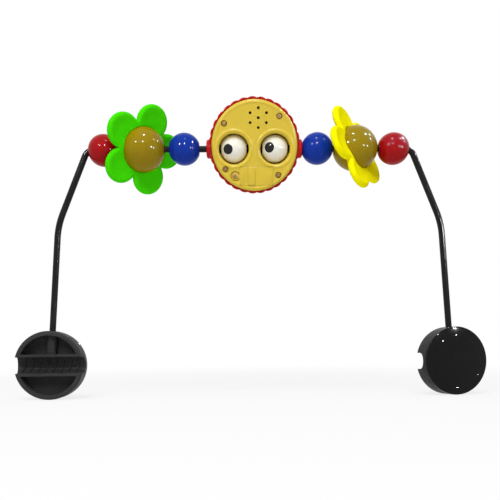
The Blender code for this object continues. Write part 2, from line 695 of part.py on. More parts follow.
def make_face_front(shop, axle):
    """Yellow front: a dished oval plate with windows, grille, screw bosses and battery tray."""
    back_of_plate = FRONT_Y + FRONT_T
    skirt_end = LEDGE_Y - TOUCH_GAP
    skirt_w = FACE_HALF_W - SKIRT_T
    skirt_h = FACE_HALF_H - SKIRT_T
    front = lofted_mesh("face_front", [
        oval(skirt_w, skirt_h, back_of_plate),
        oval(skirt_w, skirt_h, skirt_end),
        oval(FACE_HALF_W, FACE_HALF_H, skirt_end),
        oval(FACE_HALF_W, FACE_HALF_H, FRONT_Y + FRONT_CHAMFER_DROP),
        oval(FACE_HALF_W - FRONT_CHAMFER * 0.35, FACE_HALF_H - FRONT_CHAMFER * 0.35,
             FRONT_Y + FRONT_CHAMFER_DROP * 0.3),
        oval(FACE_HALF_W - FRONT_CHAMFER, FACE_HALF_H - FRONT_CHAMFER, FRONT_Y),
    ])
    part = shop.part("face_front", front, "mustard", axle)
    root = back_of_plate - ROOT
    eye_z = -FACE_RISE
    for side in (-1, 1):
        inner_r = WINDOW_R - CUT_PAST
        brow = [(inner_r, BROW_H), (BROW_R - BROW_EDGE, BROW_H),
                (BROW_R, -BROW_ROOT), (inner_r, -BROW_ROOT)]
        place = facing_viewer(side * EYE_SPREAD, FRONT_Y, eye_z)
        shop.join(part, turned_mesh("brow", brow, WINDOW_SIDES, closed=True), place)
    bosses = [(BOSS_R, (x, root, z), (x, BOSS_END_Y, z)) for x, z in all_screws()]
    shop.join(part, rods_mesh("bosses", bosses, BOSS_SIDES))
    ring_r = SPEAKER_R + TOUCH_GAP
    ring = [(ring_r + SPEAKER_RING_T, ROOT), (ring_r + SPEAKER_RING_T, -SPEAKER_RING_H),
            (ring_r, -SPEAKER_RING_H), (ring_r, ROOT)]
    shop.join(part, turned_mesh("speaker_ring", ring, HUB_SIDES, closed=True),
              facing_viewer(GRILLE_X, back_of_plate, GRILLE_Z))
    tray = cell_space(TOUCH_GAP)
    grow = Vector((TRAY_WALL, 0, TRAY_WALL))
    tray_back = tray[1] + Vector((0, TRAY_WALL, 0))
    shop.join(part, box_mesh("tray", Vector((tray[0].x, root, tray[0].z)) - grow, tray_back + grow))

    pocket_floor = FRONT_Y + COVER_T + TOUCH_GAP
    proud = FRONT_Y - BROW_H - CUT_PAST
    plate_through = back_of_plate + CUT_PAST
    window = [(0.0, 2 * WINDOW_CHAMFER), (WINDOW_R + 2 * WINDOW_CHAMFER, 2 * WINDOW_CHAMFER),
              (WINDOW_R, 0.0), (WINDOW_R, -2 * FRONT_T), (0.0, -2 * FRONT_T)]
    for side in (-1, 1):
        place = facing_viewer(side * EYE_SPREAD, FRONT_Y - BROW_H + WINDOW_CHAMFER, eye_z)
        shop.cut(part, turned_mesh("window", window, WINDOW_SIDES, closed=False), place)
    holes = [(GRILLE_HOLE_R, (GRILLE_X, proud, GRILLE_Z), (GRILLE_X, plate_through, GRILLE_Z))]
    for i in range(6):
        angle = math.pi / 6 + math.pi / 3 * i
        x = GRILLE_X + GRILLE_R * math.cos(angle)
        z = GRILLE_Z + GRILLE_R * math.sin(angle)
        holes.append((GRILLE_HOLE_R, (x, proud, z), (x, plate_through, z)))
    shop.cut(part, rods_mesh("grille", holes, HOLE_SIDES))
    recess = [(SCREW_RECESS_R, (x, proud, z), (x, FRONT_Y + SCREW_RECESS_DEPTH, z))
              for x, z in case_screws()]
    recess.append((TONGUE_RECESS_R, (COVER_SCREW_X, proud, COVER_Z), (COVER_SCREW_X, pocket_floor, COVER_Z)))
    shop.cut(part, rods_mesh("recesses", recess, BOSS_SIDES))
    through = [(SCREW_HOLE_R, (x, proud, z), (x, BOSS_END_Y + CUT_PAST, z)) for x, z in all_screws()]
    shop.cut(part, rods_mesh("screw_holes", through, HOLE_SIDES))
    gap = TOUCH_GAP
    shop.cut(part, box_mesh("cover_pocket",
                            (COVER_X - COVER_W / 2 - gap, proud, COVER_LOW - gap),
                            (COVER_X + COVER_W / 2 + gap, pocket_floor, COVER_HIGH + gap)))
    shop.cut(part, box_mesh("cell_space", Vector((tray[0].x, pocket_floor - CUT_PAST, tray[0].z)), tray[1]))
    return part


def case_screws():
    """Places of the four case screws from the centre of the face."""
    places = []
    for degrees, inset in SCREW_PLACES.values():
        angle = math.radians(degrees)
        places.append(((FACE_HALF_W - inset) * math.cos(angle), (FACE_HALF_H - inset) * math.sin(angle)))
    return places


def all_screws():
    """Places of the four case screws and of the cover's screw."""
    return case_screws() + [(COVER_SCREW_X, COVER_Z)]


def cell_space(clear):
    """Corners of the space that the two button cells take, with a clearance all round."""
    half_w = CELL_SPACING / 2 + CELL_R + clear
    start = FRONT_Y + COVER_T + TOUCH_GAP
    end = start + TOUCH_GAP + CELL_T + clear
    return (Vector((COVER_X - half_w, start, COVER_Z - CELL_R - clear)),
            Vector((COVER_X + half_w, end, COVER_Z + CELL_R + clear)))


def make_face_back(shop, axle):
    """Red shell: fluted wall, hubs for the wire, screw posts and stops for the eyeballs."""
    floor_y = BACK_Y - BACK_T
    opening_w = FACE_HALF_W + TOUCH_GAP
    opening_h = FACE_HALF_H + TOUCH_GAP
    shell = lofted_mesh("face_back", [
        fluted(0.0, FLUTE_DEPTH, BACK_LIP_Y),
        fluted(0.0, FLUTE_DEPTH, BACK_Y - BACK_ROUND),
        fluted(-BACK_ROUND * 0.3, FLUTE_DEPTH * 0.7, BACK_Y - BACK_ROUND * 0.3),
        fluted(-BACK_ROUND, 0.0, BACK_Y),
    ])
    part = shop.part("face_back", shell, "red", axle)
    shop.cut(part, lofted_mesh("inside", [
        oval(opening_w, opening_h, BACK_LIP_Y - CUT_PAST),
        oval(opening_w, opening_h, LEDGE_Y),
        oval(opening_w - LEDGE_W, opening_h - LEDGE_W, LEDGE_Y),
        oval(opening_w - LEDGE_W, opening_h - LEDGE_W, floor_y),
    ]))
    wire_z = -FACE_RISE
    sleeve_start = EYE_SPREAD + mouth_distance(EYE_R) + SLEEVE_END_CLEAR
    wall_middle = FACE_HALF_W - LEDGE_W / 2
    hub_start = FACE_HALF_W + HUB_FOOT
    flat_r = HUB_R - HUB_ROUND
    hub = [(0.0, HUB_END), (flat_r, HUB_END)]
    hub += [(flat_r + x, HUB_END - HUB_ROUND + z) for x, z in arc(HUB_ROUND, math.pi / 4, math.pi / 2, 1)]
    hub += [(HUB_R, hub_start), (0.0, hub_start)]
    for side in (-1, 1):
        turn = Matrix.Translation((0, 0, wire_z)) @ Matrix.Rotation(side * math.pi / 2, 4, "Y")
        shop.join(part, turned_mesh("hub", hub, HUB_SIDES, closed=False), turn)
        shop.join(part, rod_mesh("sleeve", SLEEVE_R, (side * sleeve_start, 0, wire_z),
                                 (side * wall_middle, 0, wire_z)))
    root = floor_y + ROOT
    posts = [(POST_R, (x, root, z), (x, BOSS_END_Y + TOUCH_GAP, z)) for x, z in case_screws()]
    for side in (-1, 1):
        x = GRILLE_X + side * (BOARD_W / 2 - BOARD_POST_R)
        posts.append((BOARD_POST_R, (x, root, BOARD_Z), (x, floor_y - BOARD_POST_H, BOARD_Z)))
    shop.join(part, rods_mesh("posts", posts, BOSS_SIDES))
    rib_x = EYE_SPREAD - mouth_distance(EYE_R) - STOP_RIB_CLEAR
    for side in (-1, 1):
        low_x, high_x = sorted((side * rib_x, side * (rib_x - STOP_RIB_T)))
        shop.join(part, box_mesh("stop_rib", (low_x, 0.0, wire_z - SLEEVE_R),
                                 (high_x, root, wire_z + SLEEVE_R)))
    shop.cut(part, rod_mesh("wire_bore", BORE_R, (-HUB_END - CUT_PAST, 0, wire_z),
                            (HUB_END + CUT_PAST, 0, wire_z)))
    holes = [(SCREW_HOLE_R, (x, BOSS_END_Y - CUT_PAST, z), (x, screw_tip_y() + SCREW_TIP_CLEAR, z))
             for x, z in case_screws()]
    shop.cut(part, rods_mesh("post_holes", holes, HOLE_SIDES))
    return part


def screw_seat_y():
    return FRONT_Y + SCREW_RECESS_DEPTH - TOUCH_GAP


def screw_tip_y():
    return screw_seat_y() + SCREW_LENGTH


def screw_mesh(head_t, length):
    """A pan head screw, its head on +Z and the seat of its head at its own origin."""
    profile = [(0.0, head_t), (SCREW_HEAD_R * 0.7, head_t), (SCREW_HEAD_R, head_t * 0.4), (SCREW_HEAD_R, 0.0),
               (SCREW_SHANK_R, 0.0), (SCREW_SHANK_R, -length), (0.0, -length)]
    return turned_mesh("screw", profile, HOLE_SIDES, closed=False)


def facing_viewer(x, y, z):
    """A place whose Z points at the viewer."""
    return Matrix.Translation((x, y, z)) @ Matrix.Rotation(math.pi / 2, 4, "X")


def make_face_fittings(shop, axle):
    """Screws, battery cover, button cells, speaker and circuit board."""
    case_screw = screw_mesh(SCREW_HEAD_T, SCREW_LENGTH)
    for label, (x, z) in zip(SCREW_PLACES, case_screws()):
        shop.part(f"case_screw_{label}", case_screw.copy(), "steel", axle,
                  facing_viewer(x, screw_seat_y(), z))
    cover_back = FRONT_Y + COVER_T
    cover = shop.part("battery_cover", box_mesh(
        "battery_cover", (COVER_X - COVER_W / 2, FRONT_Y, COVER_LOW),
        (COVER_X + COVER_W / 2, cover_back, COVER_HIGH)), "mustard", axle)
    tongue = rod_mesh("tongue", TONGUE_R, (COVER_SCREW_X, FRONT_Y, COVER_Z),
                      (COVER_SCREW_X, cover_back, COVER_Z))
    shop.join(cover, tongue)
    shop.join(cover, box_mesh("neck", (COVER_SCREW_X, FRONT_Y, COVER_Z - TONGUE_NECK / 2),
                              (COVER_X - COVER_W / 2 + ROOT, cover_back, COVER_Z + TONGUE_NECK / 2)))
    latch_low = COVER_LOW + LATCH_INSET
    latch_high = COVER_HIGH - LATCH_INSET
    shop.join(cover, box_mesh("latch", (LATCH_X - LATCH_W / 2, FRONT_Y - LATCH_H, latch_low),
                              (LATCH_X + LATCH_W / 2, cover_back - LATCH_INSET, latch_high)))
    seat = cover_back - COVER_SEAT_T
    above = (COVER_SCREW_X, FRONT_Y - CUT_PAST, COVER_Z)
    shop.cut(cover, rod_mesh("head_recess", SCREW_HEAD_R + TOUCH_GAP, above,
                             (COVER_SCREW_X, seat, COVER_Z)))
    shop.cut(cover, rod_mesh("shank_hole", SCREW_HOLE_R, above,
                             (COVER_SCREW_X, cover_back + CUT_PAST, COVER_Z), HOLE_SIDES))
    shop.part("cover_screw", screw_mesh(COVER_SCREW_HEAD_T, COVER_SCREW_LENGTH), "steel", axle,
              facing_viewer(COVER_SCREW_X, seat - TOUCH_GAP, COVER_Z))
    low, high = cell_space(0.0)
    cell_start = low.y + TOUCH_GAP
    for label, side in (("left", -1), ("right", 1)):
        x = COVER_X + side * CELL_SPACING / 2
        cell = rod_mesh("cell", CELL_R, (x, cell_start, COVER_Z), (x, high.y, COVER_Z), HUB_SIDES)
        shop.part(f"button_cell_{label}", cell, "steel", axle)
    speaker_y = FRONT_Y + FRONT_T + TOUCH_GAP
    shop.part("speaker", rod_mesh("speaker", SPEAKER_R, (GRILLE_X, speaker_y, GRILLE_Z),
                                  (GRILLE_X, speaker_y + SPEAKER_T, GRILLE_Z), HUB_SIDES), "steel", axle)
    board_back = BACK_Y - BACK_T - BOARD_POST_H - TOUCH_GAP
    shop.part("circuit_board", box_mesh(
        "circuit_board", (GRILLE_X - BOARD_W / 2, board_back - BOARD_T, BOARD_Z - BOARD_H / 2),
        (GRILLE_X + BOARD_W / 2, board_back, BOARD_Z + BOARD_H / 2)), "board", axle)


def make_face(shop):
    pitch = Matrix.Rotation(FACE_PITCH, 4, "X")
    axle = shop.empty("face_axle", Matrix.Translation((FACE_X, 0, TOP_Z)) @ pitch)
    middle = shop.empty("face_middle", Matrix())
    middle.parent = axle
    middle.matrix_local = Matrix.Translation((0, 0, FACE_RISE))
    make_face_front(shop, middle)
    make_face_back(shop, middle)
    make_face_fittings(shop, middle)
    make_eye(shop, "left_eye", -1, LEFT_EYE_TURN)
    make_eye(shop, "right_eye", 1, RIGHT_EYE_TURN)


# Clips. Their own frame: Z out of the channel side, Y up, origin on the wire's axis.

def half_moon_mesh(name, radius, chord, low, high, side):
    """What a circle holds beyond a chord, as a solid with rounded corners."""
    bm = bmesh.new()
    bmesh.ops.create_cone(bm, cap_ends=True, segments=CLIP_SIDES, radius1=radius, radius2=radius,
                          depth=high - low, matrix=Matrix.Translation((0, 0, (low + high) / 2)))
    geometry = bm.verts[:] + bm.edges[:] + bm.faces[:]
    made = bmesh.ops.bisect_plane(bm, geom=geometry, plane_co=(0, side * chord, 0),
                                  plane_no=(0, side, 0), clear_inner=True)
    rim = [item for item in made["geom_cut"] if isinstance(item, bmesh.types.BMEdge)]
    bmesh.ops.contextual_create(bm, geom=rim)
    corners = [edge for edge in rim if abs(edge.verts[0].co.z - edge.verts[1].co.z) > (high - low) / 2]
    bmesh.ops.bevel(bm, geom=corners, offset=POCKET_CORNER, affect="EDGES", segments=2, profile=0.5,
                    material=-1)
    return finished_mesh(name, bm)


def wire_in_clip(distance, z=0.0):
    """A point on the wire's socket at a distance above the clip's centre."""
    return Vector((distance * math.sin(LOWER_LEAN), distance * math.cos(LOWER_LEAN), z))


def clip_body_mesh(shop):
    """Clamp body, with its ribbed channel, two pockets and the socket for the wire."""
    seam = -CLIP_SEAM
    profile = [(0.0, CLIP_FRONT), (CLIP_R - CLIP_EDGE, CLIP_FRONT),
               (CLIP_R - CLIP_EDGE * 0.3, CLIP_FRONT - CLIP_EDGE * 0.3),
               (CLIP_R, CLIP_FRONT - CLIP_EDGE), (CLIP_R, seam), (0.0, seam)]
    body = shop.part("clip_body", turned_mesh("clip_body", profile, CLIP_SIDES, closed=False),
                     "black_matte")
    pocket_r = CLIP_R - CLIP_RIM
    pocket_chord = CHANNEL_R + CHANNEL_LIP
    pocket_floor = seam + CLIP_FLOOR
    for side in (-1, 1):
        shop.cut(body, half_moon_mesh("pocket", pocket_r, pocket_chord, pocket_floor,
                                      CLIP_FRONT + CUT_PAST, side))
    lean = Matrix.Rotation(-LOWER_LEAN, 4, "Z")
    socket_r = WIRE_R + SOCKET_PLAY
    boss_r = socket_r + BOSS_WALL
    boss_low = wire_in_clip(pocket_chord - ROOT)
    boss_high = wire_in_clip(pocket_r + ROOT)
    shop.join(body, rod_mesh("boss", boss_r, boss_low, boss_high, CLIP_DETAIL_SIDES))
    shop.join(body, box_mesh("boss_foot", (-boss_r, boss_low.y, pocket_floor - ROOT),
                             (boss_r, boss_high.y, 0.0)), lean)
    round_z = CLIP_FRONT - CHANNEL_DEPTH + CHANNEL_R
    reach = CLIP_R + CUT_PAST
    shop.cut(body, rod_mesh("channel_round", CHANNEL_R, (-reach, 0, round_z), (reach, 0, round_z),
                            HUB_SIDES))
    shop.cut(body, box_mesh("channel_mouth", (-reach, -CHANNEL_R, round_z),
                            (reach, CHANNEL_R, CLIP_FRONT + CUT_PAST)))
    for i in range(RIBS):
        x = (i - (RIBS - 1) / 2) * RIB_PITCH
        place = Matrix.Translation((x, 0, round_z)) @ Matrix.Rotation(-RIB_SLANT, 4, "Z")
        shop.join(body, rib_mesh(), place)
    shop.cut(body, rod_mesh("socket", socket_r, wire_in_clip(SOCKET_END), wire_in_clip(reach),
                            CLIP_DETAIL_SIDES))
    shop.cut(body, box_mesh("slot", (-socket_r, SOCKET_END, seam - CUT_PAST),
                            (socket_r, reach, 0.0)), lean)
    return finished_tool(body)


def rib_mesh():
    """A grip rib along the round floor of the channel."""
    outer = CHANNEL_R + ROOT
    inner = CHANNEL_R - RIB_H
    outlines = []
    for i in range(RIB_SECTIONS + 1):
        angle = -RIB_ARC + 2 * RIB_ARC * i / RIB_SECTIONS
        ray = Vector((0, math.sin(angle), -math.cos(angle)))
        corners = [(inner, -RIB_TOP_T), (outer, -RIB_T), (outer, RIB_T), (inner, RIB_TOP_T)]
        outlines.append([ray * radius + Vector((width / 2, 0, 0)) for radius, width in corners])
    return lofted_mesh("rib", outlines)


def clip_cap_mesh(shop):
    """Domed cap with the key that closes the wire's slot and the fork that holds the wire."""
    top = -CLIP_SEAM - TOUCH_GAP
    edge = top - CAP_SIDE
    inside = top - CAP_WALL
    pocket_r = CLIP_R - CLIP_RIM
    shoulder_r = CLIP_R - CAP_EDGE
    profile = [(0.0, inside), (pocket_r, inside), (pocket_r, top), (CLIP_R, top), (CLIP_R, edge),
               (shoulder_r, edge - CAP_EDGE)]

    def dome_at(radius):
        return edge - CAP_DOME + (CAP_DOME - CAP_EDGE) * (radius / shoulder_r) ** 2

    profile += [(CAP_STEP_R, dome_at(CAP_STEP_R)), (CAP_STEP_R - CAP_STEP, dome_at(CAP_STEP_R) + CAP_STEP)]
    for share in (0.67, 0.33, 0.0):
        radius = CAP_STEP_R * share
        profile.append((radius, dome_at(radius)))
    cap = shop.part("clip_cap", turned_mesh("clip_cap", profile, CLIP_SIDES, closed=False),
                    "black_gloss")
    lean = Matrix.Rotation(-LOWER_LEAN, 4, "Z")
    key_top = -WIRE_R - KEY_PLAY
    key_end = CLIP_R - CLIP_RIM / 2
    shop.join(cap, box_mesh("key", (-WIRE_R, SOCKET_END + SOCKET_PLAY, inside - ROOT),
                            (WIRE_R, key_end, key_top)), lean)
    fork_low = WIRE_END + WIRE_FOOT + (NECK_LENGTH - FORK_T) / 2
    fork_high = fork_low + FORK_T
    tine = WIRE_R - FORK_GRIP
    shop.join(cap, box_mesh("fork", (-tine, fork_low, key_top - ROOT),
                            (tine, fork_high, FORK_REACH)), lean)
    notch_r = NECK_R + SOCKET_PLAY
    notch_low = fork_low - SOCKET_PLAY
    notch_high = fork_high + SOCKET_PLAY
    shop.cut(cap, rod_mesh("fork_notch", notch_r, (0, notch_low, 0), (0, notch_high, 0),
                           CLIP_DETAIL_SIDES), lean)
    mouth = notch_r - FORK_GRIP
    shop.cut(cap, box_mesh("fork_mouth", (-mouth, notch_low, 0.0),
                           (mouth, notch_high, FORK_REACH + CUT_PAST)), lean)
    return finished_tool(cap)


def finished_tool(obj):
    """Takes the finished shape of an object and removes the object."""
    mesh = evaluated_mesh(obj)
    for child in list(obj.children):
        bpy.data.objects.remove(child)
    bpy.data.objects.remove(obj)
    return mesh


def make_clips(shop):
    """The same two mouldings on both sides, the right pair turned round to show its cap."""
    body = clip_body_mesh(shop)
    cap = clip_cap_mesh(shop)
    stand = Matrix.Rotation(math.pi / 2, 4, "X")
    left = Matrix.Translation((-CLIP_X, 0, 0)) @ stand
    axis = Vector((-math.sin(LOWER_LEAN), 0, math.cos(LOWER_LEAN)))
    turn = Matrix.Rotation(RIGHT_CLIP_TURN, 4, axis)
    right = Matrix.Translation((CLIP_X, 0, 0)) @ turn @ Matrix.Rotation(math.pi, 4, "Z") @ stand
    for side, place in (("left", left), ("right", right)):
        swivel = shop.empty(f"{side}_clip_swivel", place)
        shop.part(f"{side}_clip_body", body.copy(), "black_matte", swivel)
        shop.part(f"{side}_clip_cap", cap.copy(), "black_gloss", swivel)


def main():
    shop = Shop()
    make_wire(shop)
    bead_half = half_ball_mesh("bead_half", BEAD_R, BEAD_WALL, BEAD_SIDES, SEAM_GAP / 2, bored=True)
    make_bead(shop, bead_half, "left_red_bead", LEFT_RED_X, -1, "red")
    make_bead(shop, bead_half, "left_blue_bead", LEFT_BLUE_X, -1, "blue")
    make_bead(shop, bead_half, "right_blue_bead", RIGHT_BLUE_X, 1, "blue")
    make_bead(shop, bead_half, "right_red_bead", RIGHT_RED_X, 1, "red")
    make_flower(shop, "green_flower", GREEN_X, GREEN_TILT, GREEN_TURN, GREEN_PHASE, "green")
    make_flower(shop, "yellow_flower", YELLOW_X, YELLOW_TILT, YELLOW_TURN, YELLOW_PHASE, "yellow")
    make_face(shop)
    make_clips(shop)


main()
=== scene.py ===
"""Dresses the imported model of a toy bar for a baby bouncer: pieces, finishes, stage, camera."""

import json
import math

import bmesh
import bpy
from bpy.props import FloatProperty, FloatVectorProperty, IntProperty, PointerProperty
from mathutils import Matrix, Vector


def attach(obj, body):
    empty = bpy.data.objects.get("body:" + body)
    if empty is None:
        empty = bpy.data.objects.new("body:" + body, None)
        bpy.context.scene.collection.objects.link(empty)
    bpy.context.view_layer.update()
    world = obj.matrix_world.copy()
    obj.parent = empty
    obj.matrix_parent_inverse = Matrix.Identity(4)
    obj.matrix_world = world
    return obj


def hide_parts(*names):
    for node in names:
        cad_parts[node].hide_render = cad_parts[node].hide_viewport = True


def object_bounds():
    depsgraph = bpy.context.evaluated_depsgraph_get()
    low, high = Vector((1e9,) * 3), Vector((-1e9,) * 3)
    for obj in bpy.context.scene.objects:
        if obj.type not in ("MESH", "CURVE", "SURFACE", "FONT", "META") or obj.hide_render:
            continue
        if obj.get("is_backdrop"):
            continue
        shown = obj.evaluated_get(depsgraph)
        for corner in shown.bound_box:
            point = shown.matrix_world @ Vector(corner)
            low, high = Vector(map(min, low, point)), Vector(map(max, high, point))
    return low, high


bl_info = {
    "name": "Toy Bar",
    "version": (1, 0, 0),
    "blender": (4, 5, 0),
    "location": "View3D > Sidebar > Toy Bar",
    "description": "Makes the visible pieces of a toy bar around its packed frame",
    "category": "Object",
}

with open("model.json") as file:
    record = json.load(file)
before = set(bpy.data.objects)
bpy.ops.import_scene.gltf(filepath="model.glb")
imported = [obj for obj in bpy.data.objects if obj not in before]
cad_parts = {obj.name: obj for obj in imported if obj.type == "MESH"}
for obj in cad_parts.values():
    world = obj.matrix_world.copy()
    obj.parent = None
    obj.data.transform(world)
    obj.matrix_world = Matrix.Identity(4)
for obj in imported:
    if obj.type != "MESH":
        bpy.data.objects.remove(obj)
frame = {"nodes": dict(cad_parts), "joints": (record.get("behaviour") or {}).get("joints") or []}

MM = 0.001
FULL_TURN = 2 * math.pi
QUARTER = math.pi / 2
MERGE = 0.000002
NO_LENGTH = 1e-7
SLIVER = 0.05 * MM
CHAMFER = 0.3 * MM
SIDES = 64
SHARP = math.radians(32)
JOINTS = {joint["name"]: joint for joint in frame["joints"]}
GLOSSY = 0.11


# Properties

def length(name, description, size):
    """A length, given in millimetres."""
    return FloatProperty(name=name, description=description, default=size * MM, precision=5,
                         subtype="DISTANCE", unit="LENGTH")


def angle(name, description, degrees):
    return FloatProperty(name=name, description=description, default=math.radians(degrees),
                         subtype="ANGLE", unit="ROTATION")


def colour(name, description, red, green, blue):
    return FloatVectorProperty(name=name, description=description, default=(red, green, blue),
                               size=3, min=0.0, max=1.0, subtype="COLOR")


def share(name, description, value):
    return FloatProperty(name=name, description=description, default=value, min=0.0, max=1.0,
                         subtype="FACTOR")


def power(name, description, watts):
    return FloatProperty(name=name, description=description, default=watts, unit="POWER")


class WireSizes(bpy.types.PropertyGroup):
    radius: length("Radius", "Radius of the coated wire", 3.0)
    bend: length("Corner radius", "Radius of the wire's centre line at the two top corners", 10.6)
    knee: length("Knee radius", "Radius of the wire's centre line at the knees", 76.0)
    upper_lean: angle("Upper lean", "Lean of the legs above the knees", 21.6)
    upper_leg: length("Upper leg", "From the knee to the top corner, uncut by the bends", 77.0)
    lower_leg: length("Lower leg", "From the clip's middle to the knee, uncut by the bend", 131.7)
    end: length("End", "From the clip's middle to the wire's end", 10.9)
    foot: length("Foot", "Length of the wire below its neck", 1.4)
    neck: length("Neck radius", "Radius in the neck that the clip's fork holds", 1.9)
    neck_length: length("Neck length", "Length of the neck", 1.9)
    paint: colour("Paint", "Black powder coat", 0.010, 0.010, 0.0105)


class BeadSizes(bpy.types.PropertyGroup):
    radius: length("Radius", "Outer radius of a bead", 15.2)
    wall: length("Wall", "Thickness of a bead's wall", 1.8)
    bore: length("Bore radius", "Radius of every bore on the wire", 3.9)
    mouth: length("Mouth radius", "Radius of the flat ring round a bore", 5.5)
    seam: length("Seam", "Gap between the two halves of a ball", 0.04)
    nub: length("Nub", "Radius of the moulding nub", 0.8)
    nub_height: length("Nub height", "How far the moulding nub stands out", 0.45)
    nub_place: length("Nub place", "From the seam to the moulding nub", 4.0)
    red: colour("Red", "Red plastic", 0.36, 0.004, 0.006)
    blue: colour("Blue", "Blue plastic", 0.003, 0.030, 0.31)


class FlowerSizes(bpy.types.PropertyGroup):
    ball: length("Ball radius", "Radius of the ball in the middle", 21.4)
    ball_wall: length("Ball wall", "Thickness of the ball's wall", 2.2)
    green_tilt: angle("Green tilt", "Angle from the wire to the green petals' normal", 52.2)
    yellow_tilt: angle("Yellow tilt", "Angle from the wire to the yellow petals' normal", 40.2)
    reach: length("Petal reach", "From the middle to the centre of a petal's round end", 26.7)
    petal: length("Petal radius", "Radius of a petal's round end", 16.35)
    rim: length("Rim thickness", "Thickness of the petals at their rim", 6.4)
    dish: length("Dish thickness", "Thickness of the petals in their dishes", 4.0)
    dish_start: length("Dish start", "From the outline to the start of a dish", 2.4)
    dish_end: length("Dish end", "From the outline to the floor of a dish", 11.0)
    root: length("Root thickness", "Thickness between the halves of the ball", 2.4)
    hole: length("Hole radius", "Radius of the hole inside the ball", 15.0)
    creep: share("Valley creep", "How far the valleys draw in with each step inwards", 0.6)
    green_turn: angle("Green turn", "Turn of the green flower round the wire", 22.9)
    green_phase: angle("Green phase", "Turn of the green petals in their own plane", -8.7)
    yellow_turn: angle("Yellow turn", "Turn of the yellow flower round the wire", -26.8)
    yellow_phase: angle("Yellow phase", "Turn of the yellow petals in their own plane", -13.6)
    green: colour("Green", "Green petals", 0.055, 0.72, 0.003)
    yellow: colour("Yellow", "Yellow petals", 0.99, 0.91, 0.003)
    ochre: colour("Ochre", "Ball in the middle", 0.30, 0.205, 0.002)


